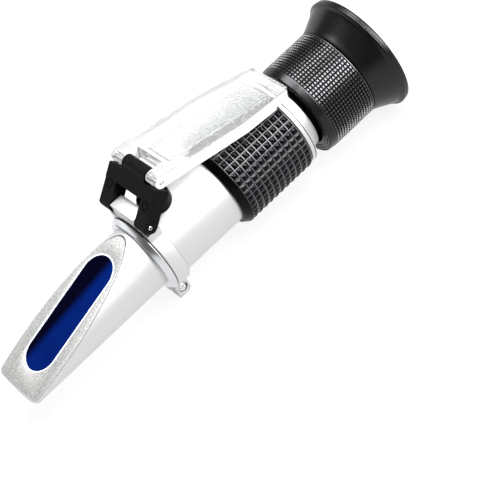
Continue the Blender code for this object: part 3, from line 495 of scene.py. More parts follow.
METAL = satin_aluminium("satin_aluminium").material
BRIGHT = turned_aluminium()
BLASTED = blasted_aluminium()
SHADED_EDGE_METAL = burnished_edge()
STEEL = turned_steel()
BRASS = worn_brass()
for metal in (METAL, BRIGHT, BLASTED, SHADED_EDGE_METAL, STEEL, BRASS):
    print("metal:", metal.name)

# %% [markdown]
# Black isn't one colour here. The grip is clean black rubber on its points, and its
# grooves are a lighter grey, partly dust and partly painted light, and its front lip
# is duller. The eyecup is the same rubber, pressed in a polished mould, so it is
# glossy. The link is a plastic moulding with a fine spark-eroded grain. The focus ring
# is black anodised metal, greyer than the rest, because the metal shines through. Its
# studs and the shoulders beside them are greyer still, partly worn and partly painted
# highlight, and the drum between the studs is painted near-black as shade. The cap
# over the calibration screw is the grip's rubber.

# %% Mix the blacks
def grip_rubber():
    """The faces of the pyramids and the cap: clean black rubber."""
    finish = Finish("grip_rubber", (0.003, 0.003, 0.004), 0.20, Specular_IOR_Level=0.22)
    bloom = finish.grain(0.35, 3.0)
    fine = finish.grain(7.0, 1.0)
    finish.set("Base Color", finish.mix(bloom, (0.001, 0.001, 0.0015), (0.004, 0.004, 0.005)))
    finish.set("Roughness", 0.07 + bloom * 0.06 + fine * 0.04)
    finish.bump(fine, 0.008)
    return finish.material


def groove_rubber():
    """The grooves between the pyramids: a lighter grey, partly dust and partly painted light."""
    finish = Finish("groove_rubber", (0.03, 0.03, 0.034), 0.20, Specular_IOR_Level=0.4)
    dust_and_light = finish.grain(0.6, 3.0)
    finish.set("Base Color", finish.mix(dust_and_light, (0.065, 0.065, 0.075), (0.115, 0.115, 0.130)))
    finish.set("Roughness", 0.16 + dust_and_light * 0.14)
    return finish.material


def lip_rubber():
    """The grip's smooth front lip, duller than its points."""
    finish = Finish("lip_rubber", (0.002, 0.002, 0.002), 0.30, Specular_IOR_Level=0.14)
    cloud = finish.grain(0.3, 2.0)
    finish.set("Base Color", finish.mix(cloud, (0.001, 0.001, 0.001), (0.003, 0.003, 0.003)))
    finish.set("Roughness", 0.24 + cloud * 0.12)
    return finish.material


def polished_rubber():
    """The eyecup's smooth, almost wet-looking rubber."""
    finish = Finish("polished_rubber", (0.002, 0.002, 0.003), 0.20, Specular_IOR_Level=0.5)
    cloud = finish.grain(0.15, 3.0)
    fine = finish.grain(4.0, 1.0)
    finish.set("Base Color", finish.mix(cloud, (0.001, 0.001, 0.0015), (0.003, 0.003, 0.004)))
    finish.set("Roughness", 0.24 + cloud * 0.12 + fine * 0.04)
    finish.bump(fine, 0.004)
    return finish.material


def moulded_plastic():
    """The link's matte black plastic."""
    finish = Finish("moulded_plastic", (0.004, 0.004, 0.004), 0.50, Specular_IOR_Level=0.12)
    eroded = finish.grain(5.0, 2.0)
    broad = finish.grain(0.5, 2.0)
    finish.set("Base Color", finish.mix(broad, (0.003, 0.003, 0.003), (0.007, 0.007, 0.007)))
    finish.set("Roughness", 0.40 + broad * 0.16)
    finish.bump(eroded, 0.02)
    return finish.material


def black_anodised(name, shade, roughness):
    """Black dyed metal with faint lathe rings."""
    finish = Finish(name, (shade, shade, shade * 1.05), roughness, 0.85)
    rings = finish.grain(3.0, 2.0, LATHE_RINGS)
    finish.set("Roughness", roughness - 0.06 + rings * 0.12)
    finish.bump(rings, 0.005)
    return finish.material


RUBBER = grip_rubber()
GROOVE_RUBBER = groove_rubber()
LIP_RUBBER = lip_rubber()
GLOSS_RUBBER = polished_rubber()
PLASTIC = moulded_plastic()
RING_BLACK = black_anodised("focus_ring_black", 0.036, 0.28)
# The studs are greyer, partly as wear and partly as painted highlight; the drum between them is
# near-black as painted shade.
STUD_WEAR_AND_HIGHLIGHT = black_anodised("worn_stud_tops", 0.085, 0.30)
STUD_GAP_SHADE = black_anodised("stud_groove_black", 0.003, 0.50)
# inner_black is the inner parts' own black, and also serves as painted shade in the collar's groove
# and the pin's bore.
INNER_BLACK = black_anodised("inner_black", 0.012, 0.45)
for black in (RUBBER, GROOVE_RUBBER, LIP_RUBBER, GLOSS_RUBBER, PLASTIC, RING_BLACK, STUD_WEAR_AND_HIGHLIGHT):
    print("black:", black.name)

# %% [markdown]
# The clear and coloured finishes are left. The prism's window is a dark blue glass: in
# the photograph its far side, away from the viewer, runs into black, and the near side
# is a deep clear blue. The black is painted shade. The border between them slants
# across the window, so the blue follows a line in the piece's own coordinates. The
# cover is clear plastic and its sunken middle is stippled to spread the daylight. Its
# outer sides are whiter as painted light, with grey lines of painted shade along their
# borders, and its eased edges are painted grey as shade. The lenses are clear coated glass.

# %% Mix the glasses
PRISM_BLUE = (0.0, 0.009, 0.090)
PRISM_SHADE_BLACK = (0.0, 0.0, 0.010)
BLUE_LINE_SLOPE = -0.17
BLUE_LINE_START_MM = -8.0
BLUE_LINE_BLUR_MM = 1.6
PLASTIC_IOR = 1.45


def prism_glass():
    """Blue glass with painted shade that darkens it towards its far side."""
    finish = Finish("prism_glass", PRISM_BLUE, 0.05, 0.0, Specular_IOR_Level=0.22)
    spot = finish.spot()
    # Painted shade: beyond a slanting line the window turns black.
    line = spot["X"] * BLUE_LINE_SLOPE + BLUE_LINE_START_MM
    beyond = finish.part_of(spot["Y"] - line, -BLUE_LINE_BLUR_MM, BLUE_LINE_BLUR_MM)
    cloud = finish.grain(0.12, 2.0)
    near = finish.mix(cloud, PRISM_BLUE, (0.0, 0.018, 0.145))
    finish.set("Base Color", finish.mix(beyond, near, PRISM_SHADE_BLACK))
    finish.set("Roughness", 0.03 + cloud * 0.05)
    return finish.material


def pale_sealant():
    """The white-blue line of sealant round the window."""
    finish = Finish("pale_sealant", (0.72, 0.80, 0.95), 0.25)
    cloud = finish.grain(0.5, 2.0)
    finish.set("Base Color", finish.mix(cloud, (0.66, 0.75, 0.95), (0.88, 0.92, 0.98)))
    finish.set("Roughness", 0.20 + cloud * 0.15)
    return finish.material


def cover_plastic(name, colour, roughness, passed):
    """One of the cover's finishes. passed is the share of the light that goes through."""
    return Finish(name, colour, roughness, 0.0, IOR=PLASTIC_IOR, Transmission_Weight=passed)


def clear_plastic():
    """The cover's clear moulding, with faint flow marks."""
    finish = cover_plastic("clear_plastic", (0.97, 0.98, 0.98), 0.03, 0.84)
    flow = finish.grain(0.2, 2.0)
    finish.set("Roughness", 0.02 + flow * 0.05)
    finish.bump(flow, 0.02)
    return finish.material


def stippled_plastic():
    """The cover's sunken middle, eroded so that it spreads the light."""
    finish = cover_plastic("stippled_plastic", (0.96, 0.97, 0.97), 0.30, 0.64)
    dots = finish.node("ShaderNodeTexVoronoi", None, {"Vector": finish.place(), "Scale": 1.6})
    finish.set("Roughness", 0.20 + dots["Distance"] * 0.25)
    finish.bump(dots["Distance"], 0.12)
    return finish.material


def edge_plastic():
    """The cover's eased edges, painted as thin grey lines of shade."""
    finish = cover_plastic("edge_plastic", (0.50, 0.51, 0.51), 0.10, 0.40)
    flow = finish.grain(0.4, 2.0)
    finish.set("Base Color", finish.mix(flow, (0.10, 0.11, 0.11), (0.50, 0.51, 0.51)))
    return finish.material


def lens_glass():
    """Clear glass with a faint cool coating."""
    finish = Finish("lens_glass", (0.92, 0.96, 1.0), 0.02, 0.0, IOR=1.5, Transmission_Weight=1.0)
    haze = finish.grain(0.3, 2.0)
    finish.set("Roughness", 0.01 + haze * 0.04)
    return finish.material


PRISM = prism_glass()
SEALANT = pale_sealant()
CLEAR = clear_plastic()
STIPPLED = stippled_plastic()
EDGE_CLEAR = edge_plastic()
LENS = lens_glass()
for clear in (PRISM, SEALANT, CLEAR, STIPPLED, EDGE_CLEAR, LENS):
    print("clear or coloured:", clear.name)

# %% [markdown]
# A lathe turns a bar against a cutter, and the piece is known by its section. So each
# turned piece here is a list of corners, as place along the tube and radius, and each
# corner says how far back its edge is eased, often as so many tenths of a millimetre.
# Real edges always catch a line of light, and an eased corner does too. The section is
# then spun in mesh code, which keeps the vertices in even rows, where a Screw modifier
# would need an object.

# %% Spin a section
TENTH_MM = 0.0001
SPIN_STEPS = 180
EASE_STEPS = 4
SHARP_ANGLE = radians(32)


def eased(corners):
    """A closed section from (along, radius, ease) corners, each rounded by its ease."""
    points = []
    count = len(corners)
    for index, (along, radius, ease) in enumerate(corners):
        corner = Vector((along, radius))
        if ease == 0.0:
            points.append(corner)
            continue
        before = Vector(corners[index - 1][:2]) - corner
        after = Vector(corners[(index + 1) % count][:2]) - corner
        start = corner + before.normalized() * min(ease, before.length / 2)
        end = corner + after.normalized() * min(ease, after.length / 2)
        for step in range(EASE_STEPS + 1):
            share = step / EASE_STEPS
            points.append(start.lerp(corner, share).lerp(corner.lerp(end, share), share))
    return points


def closed_mesh(name, points, faces):
    """A mesh whose faces point outwards."""
    mesh = bpy.data.meshes.new(name)
    work = bmesh.new()
    made = [work.verts.new(point) for point in points]
    for face in faces:
        work.faces.new([made[index] for index in face])
    bmesh.ops.recalc_face_normals(work, faces=work.faces)
    work.to_mesh(mesh)
    work.free()
    return mesh


def make_piece(name, mesh, material):
    """An object at the origin for a finished mesh."""
    mesh.name = name
    mesh.shade_smooth()
    mesh.set_sharp_from_angle(angle=SHARP_ANGLE)
    mesh.materials.append(material)
    return put_in_scene(name, mesh)


def about_tube(along, reach, angle):
    """A point of a piece that is turned about the tube's own axis."""
    return Vector((along, reach * cos(angle), AXIS_Z + reach * sin(angle)))


def spun_mesh(name, section, place=about_tube, steps=SPIN_STEPS, dent=None):
    """A section spun round. dent gives how deep its surface is cut at an angle."""
    points = []
    rows = []
    for along, radius in section:
        if radius <= 0.0:
            rows.append([len(points)] * steps)
            points.append(place(along, 0.0, 0.0))
            continue
        rows.append(list(range(len(points), len(points) + steps)))
        for step in range(steps):
            angle = 2 * pi * step / steps
            reach = radius - dent(along, radius, angle) if dent else radius
            points.append(place(along, reach, angle))
    faces = []
    for row, after in zip(rows, rows[1:] + rows[:1]):
        for step in range(steps):
            turn = (step + 1) % steps
            corners = list(dict.fromkeys([row[step], row[turn], after[turn], after[step]]))
            if len(corners) > 2:
                faces.append(corners)
    return closed_mesh(name, points, faces)


def spun(name, corners, material, **choices):
    """A turned piece from its eased corners."""
    return make_piece(name, spun_mesh(name, eased(corners), **choices), material)


print("the lathe is ready, with", SPIN_STEPS, "steps to a turn")

# %% [markdown]
# Other pieces aren't round: the link, the cover and the ring's ears. They are drawn as a
# side view and pulled across the tube, or as matching loops joined by walls. Holes are
# cut with a Boolean, and its result is frozen at once, so that a piece carries no live
# modifier. A Bevel with a narrow width then eases what the cuts left sharp. Each finished
# piece rides on a body of the engineering model and replaces the nodes it stands for.

# %% Mill, cut and ease
ROUND_STEPS = 32
CUT_OVERRUN = 0.002
HOLE_GAP = 0.00012
FINE_EASE = 0.00012
SLOTS = {part["node"]: part["material_slot"] for part in frame["record"]["subparts"]}


def stacked(name, loops, ring=False):
    """A skin over loops of as many points. A ring joins the last loop to the first."""
    points = [point for loop in loops for point in loop]
    count = len(loops[0])
    last = len(points) - count
    faces = [] if ring else [list(range(count)), list(range(last, last + count))]
    for level in range(len(loops) if ring else len(loops) - 1):
        low = level * count
        high = (level + 1) % len(loops) * count
        for step in range(count):
            turn = (step + 1) % count
            faces.append([low + step, low + turn, high + turn, high + step])
    return closed_mesh(name, points, faces)


def rectangle(low, high, bottom, top):
    """The corners of a rectangle, from low to high and from bottom to top."""
    return [(low, bottom), (high, bottom), (high, top), (low, top)]


def across(name, outline, y_low, y_high):
    """A side view of (x, z) points, pulled across the tube."""
    low = [Vector((x, y_low, z)) for x, z in outline]
    high = [Vector((x, y_high, z)) for x, z in outline]
    return stacked(name, [low, high])


def arc(centre, radius, start, end, steps=ROUND_STEPS):
    """Points on an arc in a plane, both ends included."""
    points = []
    for step in range(steps + 1):
        angle = start + (end - start) * step / steps
        points.append((centre[0] + radius * cos(angle), centre[1] + radius * sin(angle)))
    return points


def bar(name, centre, direction, radius, start, end, ease=0.0):
    """A round bar along a direction, whose ends are eased where an ease is given."""
    turn = direction.to_track_quat("Z", "Y")
    rows = [(start, radius), (end, radius)]
    if ease:
        rows = [(start, radius - ease), (start + ease, radius)]
        rows += [(end - ease, radius), (end, radius - ease)]
    loops = []
    for reach, size in rows:
        around = arc((0.0, 0.0), size, 0.0, 2 * pi)[:-1]
        loops.append([centre + turn @ Vector((x, y, reach)) for x, y in around])
    return stacked(name, loops)


def plug(name, start, end, radius):
    """A plain round bar about the centre line."""
    return spun_mesh(name, [(start, 0.0), (start, radius), (end, radius), (end, 0.0)])


def freeze(piece):
    """Keeps what the modifiers make, and drops the modifiers."""
    shown = piece.evaluated_get(bpy.context.evaluated_depsgraph_get())
    mesh = bpy.data.meshes.new_from_object(shown)
    piece.modifiers.clear()
    piece.data = mesh
    mesh.shade_smooth()
    mesh.set_sharp_from_angle(angle=SHARP_ANGLE)
    return piece


def combine(piece, mesh, operation):
    """One Boolean step, frozen at once."""
    tool = put_in_scene(mesh.name, mesh)
    step = piece.modifiers.new(mesh.name, "BOOLEAN")
    step.operation = operation
    step.solver = "EXACT"
    step.object = tool
    freeze(piece)
    bpy.data.objects.remove(tool)
    return piece


def cut(piece, mesh):
    return combine(piece, mesh, "DIFFERENCE")


def add(piece, mesh):
    return combine(piece, mesh, "UNION")


def drill(piece, place, pin_radius, reach):
    """A hole across the piece for a pin, with a little room round it."""
    return cut(piece, bar("hole", place, SIDEWAYS, pin_radius + HOLE_GAP, -reach, reach))


def ease_edges(piece, width, angle, steps=2):
    """Rounds the edges that are sharper than an angle by a narrow bevel."""
    bevel = piece.modifiers.new("ease", "BEVEL")
    bevel.width = width
    bevel.segments = steps
    bevel.limit_method = "ANGLE"
    bevel.angle_limit = angle
    bevel.use_clamp_overlap = True
    return freeze(piece)


def dress(piece, body, *nodes):
    """Puts a piece on its body, in place of the nodes that it stands for."""
    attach(piece, body)
    if nodes:
        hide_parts(*nodes)
        SLOTS[nodes[0]]
    return piece


print("the mill is ready")

# %% [markdown]
# The nose is a turned bar with its top cut away on a slant. It gets the same section
# as the engineering model, with an eased tip and a conical flange. The slanted cut is
# a Boolean with a slab, and the pocket for the window a Boolean with a slot. The faces
# that lie on the slanted plane then take the blasted finish, found by their normals,
# and the flange's cone takes the bright one. A thin dark line of painted shade runs
# along the cut. The eased edge is too narrow to paint, so the shader draws the line
# by how far under the slanted plane a point lies.

# %% Turn the nose and cut its slanted face
FLANGE_GAP = 0.0003
FLANGE_LENGTH = 0.0021
FLANGE_END = TUBE_START - FLANGE_GAP
FLANGE_START = FLANGE_END - FLANGE_LENGTH
FLANGE_LIP = 0.0004
NOSE_RADIUS = 0.01183
FLANGE_FRONT_RADIUS = 0.0134
TIP_CHAMFER = 0.0012
SPIGOT_SHOWN = 0.0020
SPIGOT_STEP = 0.002
SLANT_ANGLE = radians(16.4)
SLANT_SETBACK = 0.0017
SLANT_TOP = FLANGE_START - SLANT_SETBACK
SLANT_FALL = (SLANT_TOP - NOSE_START) * tan(SLANT_ANGLE)
SLANT_FOOT = Vector((NOSE_START, 0.0, AXIS_Z + NOSE_RADIUS - SLANT_FALL))
SLANT_ALONG = Vector((cos(SLANT_ANGLE), 0.0, sin(SLANT_ANGLE)))
SLANT_NORMAL = Vector((-sin(SLANT_ANGLE), 0.0, cos(SLANT_ANGLE)))
WINDOW_START = 0.0070
WINDOW_LENGTH = 0.0431
WINDOW_HALF = 0.0066
SEAL_WIDTH = 0.0006
SEAL_GAP = 0.00005
SEAL_PROUD = 0.00008
POCKET_DEPTH = 0.0014
NOSE_EASE_ANGLE = radians(24)
# Painted shade: how far under the slanted plane the dark line along the cut runs, and its grey.
EDGE_SHADE_MM = (-0.22, -0.10)
EDGE_SHADE_GREY = (0.10, 0.10, 0.10)
# How closely a face's normal has to follow the slanted plane's to count as on it.
ON_THE_PLANE = 0.999


def on_slant(along, side, lift):
    """A point on the slanted face, or above it by lift."""
    return SLANT_FOOT + SLANT_ALONG * along + SIDEWAYS * side + SLANT_NORMAL * lift


def slot_loop(margin, lift):
    """The window's outline, wider by a margin, at a height over the slanted face."""
    half = WINDOW_HALF + margin
    start = WINDOW_START + WINDOW_HALF
    end = WINDOW_START + WINDOW_LENGTH - WINDOW_HALF
    outline = arc((end, 0.0), half, -pi / 2, pi / 2) + arc((start, 0.0), half, pi / 2, 3 * pi / 2)
    return [on_slant(along, side, lift) for along, side in outline]


def paint_faces(piece, material, chosen):
    """Gives a further material to the faces that a test chooses."""
    piece.data.materials.append(material)
    last = len(piece.data.materials) - 1
    for face in piece.data.polygons:
        if chosen(face):
            face.material_index = last


def radius_of(face):
    """How far a face lies from the centre line."""
    return (Vector(face.center) - CENTRE_LINE).yz.length


def is_slanted(face):
    return face.normal.dot(SLANT_NORMAL) > ON_THE_PLANE


def is_on_cone(face):
    along = FLANGE_START - FINE_EASE < face.center.x < FLANGE_END - FLANGE_LIP
    return along and radius_of(face) > NOSE_RADIUS + 2 * FINE_EASE


def burred_aluminium():
    """The nose's metal, with a thin dark line of painted shade along its cut."""
    finish = satin_aluminium("burred_aluminium")
    # Painted shade: points just under the slanted plane turn dark grey.
    edge_shade = finish.part_of(finish.height_over(SLANT_FOOT, SLANT_NORMAL), *EDGE_SHADE_MM)
    finish.set("Base Color", finish.mix(edge_shade, SATIN_GREY, EDGE_SHADE_GREY))
    return finish.material


def turned_nose():
    """The nose before its top is cut away."""
    spigot_end = FLANGE_END + SPIGOT_SHOWN
    spigot_radius = TUBE_RADIUS - SPIGOT_STEP
    corners = [
        (NOSE_START, 0.0, 0.0),
        (NOSE_START, NOSE_RADIUS - TIP_CHAMFER, 3 * TENTH_MM),
        (NOSE_START + TIP_CHAMFER, NOSE_RADIUS, 6 * TENTH_MM),
        (FLANGE_START, NOSE_RADIUS, 2 * TENTH_MM),
        (FLANGE_START, FLANGE_FRONT_RADIUS, 2 * TENTH_MM),
        (FLANGE_END - FLANGE_LIP, FLANGE_RADIUS, 2 * TENTH_MM),
        (FLANGE_END, FLANGE_RADIUS, 1.5 * TENTH_MM),
        (FLANGE_END, spigot_radius, 0.0),
        (spigot_end, spigot_radius, 0.0),
        (spigot_end, 0.0, 0.0),
    ]
    return spun("nose", corners, burred_aluminium())


def make_nose():
    """The nose with its slanted face, its window pocket and its flange."""
    nose = turned_nose()
    start, end = NOSE_START - CUT_OVERRUN, SLANT_TOP + CUT_OVERRUN
    past = CUT_OVERRUN * tan(SLANT_ANGLE)
    top = AXIS_Z + 2 * NOSE_RADIUS
    slab = [(start, SLANT_FOOT.z - past), (end, AXIS_Z + NOSE_RADIUS + past)]
    slab += [(end, top), (start, top)]
    cut(nose, across("slant_cut", slab, -2 * NOSE_RADIUS, 2 * NOSE_RADIUS))
    margin = SEAL_WIDTH + SEAL_GAP
    levels = (CUT_OVERRUN, -POCKET_DEPTH)
    cut(nose, stacked("pocket", [slot_loop(margin, level) for level in levels]))
    ease_edges(nose, FINE_EASE, NOSE_EASE_ANGLE)
    paint_faces(nose, BLASTED, is_slanted)
    paint_faces(nose, BRIGHT, is_on_cone)
    return dress(nose, "main_body", "prism_housing")


NOSE = make_nose()
print("nose faces:", len(NOSE.data.polygons))

# %% [markdown]
# The window lies flush in the slanted face, and a line of pale sealant runs round it,
# a little proud, with a rounded top. Both are made from the same outline with other
# margins, so they fit each other. Loops at several heights make the rounded bead.

# %% Set the window and its seal
PRISM_CHAMFER = 0.0002
PRISM_DEPTH = 0.0012
BEAD_STEPS = 8


def make_window():
    """The blue glass, with a narrow chamfer round its top."""
    loops = [
        slot_loop(0.0, -PRISM_DEPTH),
        slot_loop(0.0, -PRISM_CHAMFER),
        slot_loop(-PRISM_CHAMFER, 0.0),
    ]
    window = make_piece("prism_window", stacked("prism_window", loops), PRISM)
    return dress(window, "main_body", "main_prism")


def make_seal():
    """A rounded bead of sealant between the glass and the metal."""
    loops = []
    for step in range(BEAD_STEPS + 1):
        share = step / BEAD_STEPS
        margin = SEAL_GAP + (SEAL_WIDTH - SEAL_GAP) * share
        loops.append(slot_loop(margin, SEAL_PROUD * sin(pi * share)))
    loops.append(slot_loop(SEAL_WIDTH, -PRISM_DEPTH))
    loops.append(slot_loop(SEAL_GAP, -PRISM_DEPTH))
    seal = make_piece("window_seal", stacked("window_seal", loops, ring=True), SEALANT)
    return dress(seal, "main_body", "prism_seal")


make_window()
make_seal()
print("window length in mm:", round(WINDOW_LENGTH * MM_PER_M, 1))

# %% [markdown]
# The clamp ring holds the nose and the tube together. It is one casting: a ring, a lug
# for the link's pin on top, low shoulders beside the lug, and two ears below that a
# screw pulls together. Four plain solids are joined by Boolean unions, the bore and the
# holes are cut, and one bevel eases every edge. The rear edge and the front sides of
# the ears look dark in the photograph, so they take the darker metal as painted shade.

# %% Make the clamp ring, its screw and the link's pin
RING_WALL = 0.0013
RING_GAP = 0.00012
RING_STAND_OFF = 0.0003
RING_INNER = TUBE_RADIUS + RING_GAP
RING_OUTER = TUBE_RADIUS + RING_STAND_OFF + RING_WALL
RING_EDGE = 0.0004
RING_MIDDLE = (RING_START + RING_END) / 2
RING_EASE_ANGLE = radians(40)
EAR_HALF = 0.0050
EAR_DROP = 0.0213
EAR_BASE = AXIS_Z - EAR_DROP
EAR_CORNER = 0.0010
EAR_SPLIT = 0.0010
SCREW_DROP = 0.0184
SCREW_PLACE = Vector((RING_MIDDLE, 0.0, AXIS_Z - SCREW_DROP))
SCREW_RADIUS = 0.0010
SCREW_HEAD_RADIUS = 0.0015
SCREW_HEAD_HEIGHT = 0.0009
HEAD_GAP = 0.0003
SCREW_SEAT = 0.0012
SCREW_SLOT = 0.0004
SLOT_DEPTH = 0.0005
LUG_HALF = 0.0065
LUG_TOP = 0.0196
SHOULDER_HALF = 0.0105
SHOULDER_TOP = 0.0139
PIN_LOW, PIN_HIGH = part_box("bracket_pin")
LINK_PIVOT = (PIN_LOW + PIN_HIGH) / 2
LINK_PIN_RADIUS = (PIN_HIGH.z - PIN_LOW.z) / 2
PIN_REACH = PIN_HIGH.y
PIN_EASE = 0.0002
PIN_BORE_RADIUS = 0.00040
PIN_BORE_DEPTH = 0.0015
# How closely a face's normal has to follow a direction to count as facing that way.
FACING = 0.9


def ring_blank():
    """The turned ring with its shoulders, lug and ears joined on."""
    corners = [
        (RING_START, RING_INNER, 0.0),
        (RING_START, RING_OUTER, RING_EDGE),
        (RING_END, RING_OUTER, RING_EDGE),
        (RING_END, RING_INNER, 0.0),
    ]
    ring = spun("clamp_ring_body", corners, METAL)
    middle = (RING_INNER + RING_OUTER) / 2
    start, end = RING_START + FINE_EASE / 2, RING_END - FINE_EASE / 2
    for name, half, top in (("shoulder", SHOULDER_HALF, SHOULDER_TOP), ("lug", LUG_HALF, LUG_TOP)):
        foot = sqrt(middle ** 2 - half ** 2)
        add(ring, across(name, rectangle(start, end, AXIS_Z + foot, AXIS_Z + top), -half, half))
    foot = AXIS_Z - sqrt(middle ** 2 - EAR_HALF ** 2)
    ear = [
        (start, foot),
        (start, EAR_BASE),
        (RING_END - EAR_CORNER, EAR_BASE),
        (end, EAR_BASE + EAR_CORNER),
        (end, foot),
    ]
    return add(ring, across("ears", ear, -EAR_HALF, EAR_HALF))


def is_painted_shade_edge(face):
    """Whether a face is on the ring's rear edge or an ear's front side, which get painted shade."""
    on_edge = face.center.x > RING_END - RING_EDGE / 2 and radius_of(face) > RING_OUTER - RING_EDGE
    on_ear = face.normal.x < -FACING and face.center.z < AXIS_Z - RING_OUTER
    return on_edge or on_ear


def make_clamp_ring():
    """The ring, bored, split below and drilled for its screw and its pin."""
    ring = ring_blank()
    start, end = RING_START - CUT_OVERRUN, RING_END + CUT_OVERRUN
    cut(ring, plug("bore", start, end, RING_INNER))
    split = rectangle(start, end, EAR_BASE - CUT_OVERRUN, AXIS_Z - RING_INNER + RING_WALL)
    cut(ring, across("split", split, -EAR_SPLIT / 2, EAR_SPLIT / 2))
    reach = EAR_HALF + CUT_OVERRUN
    drill(ring, SCREW_PLACE, SCREW_RADIUS, reach)
    head, seat = SCREW_HEAD_RADIUS + HEAD_GAP, SCREW_SEAT - EAR_HALF
    cut(ring, bar("head_hole", SCREW_PLACE, SIDEWAYS, head, -reach, seat))
    drill(ring, LINK_PIVOT, LINK_PIN_RADIUS, LUG_HALF + CUT_OVERRUN)
    ease_edges(ring, FINE_EASE, RING_EASE_ANGLE)
    # Painted shade: the rear edge and the ears' front sides take a darker metal.
    paint_faces(ring, SHADED_EDGE_METAL, is_painted_shade_edge)
    return dress(ring, "main_body", "clamp_ring")


def make_clamp_screw():
    """The slotted screw through the ears."""
    inner = -EAR_HALF / 2
    shank = bar("shank", SCREW_PLACE, SIDEWAYS, SCREW_RADIUS, inner, EAR_HALF, PIN_EASE)
    screw = make_piece("clamp_screw_body", shank, STEEL)
    start, end = SCREW_SEAT - EAR_HALF - SCREW_HEAD_HEIGHT, inner + 2 * PIN_EASE
    add(screw, bar("head", SCREW_PLACE, SIDEWAYS, SCREW_HEAD_RADIUS, start, end, PIN_EASE))
    reach = 2 * SCREW_HEAD_RADIUS
    sides = (RING_MIDDLE - reach, RING_MIDDLE + reach)
    slot = rectangle(*sides, SCREW_PLACE.z - SCREW_SLOT / 2, SCREW_PLACE.z + SCREW_SLOT / 2)
    cut(screw, across("slot", slot, -EAR_HALF - CUT_OVERRUN, start + SLOT_DEPTH))
    return dress(screw, "main_body", "clamp_screw")


def make_link_pin():
    """The pin whose bright, hollow end shows in the link's arm."""
    mesh = bar("link_pin", LINK_PIVOT, SIDEWAYS, LINK_PIN_RADIUS, -PIN_REACH, PIN_REACH, PIN_EASE)
    pin = make_piece("link_pin", mesh, STEEL)
    for way in (-1, 1):
        depths = sorted((way * (PIN_REACH - PIN_BORE_DEPTH), way * (PIN_REACH + CUT_OVERRUN)))
        cut(pin, bar("pin_bore", LINK_PIVOT, SIDEWAYS, PIN_BORE_RADIUS, *depths))

    def is_in_bore(face):
        away = (Vector(face.center) - LINK_PIVOT).xz.length
        return away < PIN_BORE_RADIUS + FINE_EASE and abs(face.center.y) < PIN_REACH - FINE_EASE

    # Painted shade: the bore is painted black.
    paint_faces(pin, INNER_BLACK, is_in_bore)
    return dress(pin, "main_body", "bracket_pin")


CLAMP = make_clamp_ring()
make_clamp_screw()
make_link_pin()
print("clamp ring faces:", len(CLAMP.data.polygons))

# %% [markdown]
# The main tube is a plain sleeve. The printed words of the real one are left off, so
# its satin surface has to carry it: faint lathe rings and a soft gradient. A hole in
# its top, under the rubber cap, leads to the calibration screw, and a boss inside
# closes the hole round the screw.

# %% Make the tube
TUBE_WALL = 0.0016
TUBE_EDGE = 0.0002
CAP_LOW, CAP_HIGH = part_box("calibration_cap")
CAP_PLACE = Vector(((CAP_LOW.x + CAP_HIGH.x) / 2, 0.0, 0.0))
CAP_RADIUS = (CAP_HIGH.x - CAP_LOW.x) / 2
CAP_HOLE_RADIUS = 0.0033
BOSS_RADIUS = 0.0039
BOSS_THICKNESS = 0.0022
TRIM_LOW, TRIM_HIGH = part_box("calibration_screw")
TRIM_RADIUS = (TRIM_HIGH.x - TRIM_LOW.x) / 2
BOSS_TOP = CAP_LOW.z


def make_tube():
    """The bright sleeve, with the hole for the cap."""
    corners = [
        (TUBE_START, TUBE_RADIUS - TUBE_WALL, 0.0),
        (TUBE_START, TUBE_RADIUS, TUBE_EDGE),
        (TUBE_END, TUBE_RADIUS, TUBE_EDGE),
        (TUBE_END, TUBE_RADIUS - TUBE_WALL, 0.0),
    ]
    tube = spun("bright_tube", corners, METAL)
    add(tube, bar("boss", CAP_PLACE, UPWARDS, BOSS_RADIUS, BOSS_TOP - BOSS_THICKNESS, BOSS_TOP))
    past = AXIS_Z + TUBE_RADIUS + CUT_OVERRUN
    cut(tube, bar("cap_hole", CAP_PLACE, UPWARDS, CAP_HOLE_RADIUS, BOSS_TOP - HOLE_GAP, past))
    hole = TRIM_RADIUS + HOLE_GAP
    cut(tube, bar("trim_hole", CAP_PLACE, UPWARDS, hole, BOSS_TOP - 2 * BOSS_THICKNESS, past))
    return dress(tube, "main_body", "main_tube")


make_tube()
print("tube length in mm:", round((TUBE_END - TUBE_START) * MM_PER_M, 1))

# %% [markdown]
# The hinge link is one black moulding: two arms that hold the clamp's pin, a web that
# joins them, and a rolled knuckle for the cover's pin. It lies on a slope, so its side
# view is drawn along and across the link and then turned into the tube's frame. The
# round marks of the mould's ejector pins and the step where each arm meets the web are
# small, but they show in the photograph.

# %% Mould the hinge link
COVER_PIN_LOW, COVER_PIN_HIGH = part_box("cover_pin")
COVER_PIVOT = (COVER_PIN_LOW + COVER_PIN_HIGH) / 2
COVER_PIN_RADIUS = (COVER_PIN_HIGH.z - COVER_PIN_LOW.z) / 2
COVER_PIN_REACH = COVER_PIN_HIGH.y
LINK_ANGLE = radians(42.3)
LINK_ALONG = Vector((cos(LINK_ANGLE), 0.0, sin(LINK_ANGLE)))
LINK_INWARD = Vector((-sin(LINK_ANGLE), 0.0, cos(LINK_ANGLE)))
LINK_THICK = 0.00258
LINK_SHOULDER = 0.0127
LINK_WINDOW = 0.0076
LINK_WEB = 0.0027
WEB_BOTTOM = LINK_THICK - LINK_WEB
LINK_RIB = 0.0010
LINK_STEP = 0.0002
ARM_TOP = LINK_THICK - LINK_STEP
LINK_END_STEPS = 16
CORNER_STEPS = 10
KNUCKLE_RADIUS = 0.0024
KNUCKLE_HALF = 0.0062
ARM_GAP = 0.0004
LINK_EASE_ANGLE = radians(35)
LINK_CORNER = 0.0016
MARK_ALONG = 0.0062
MARK_SIDE = 0.0098
MARK_RADIUS = 0.00150
MARK_WIDTH = 0.00034
MARK_DEPTH = 0.00030


def on_link(along, inward):
    """A point of the link's side view, as (x, z)."""
    point = LINK_PIVOT + LINK_ALONG * along + LINK_INWARD * inward
    return (point.x, point.z)


def link_view(outline):
    """An outline given along and across the link, as (x, z) points."""
    return [on_link(along, inward) for along, inward in outline]


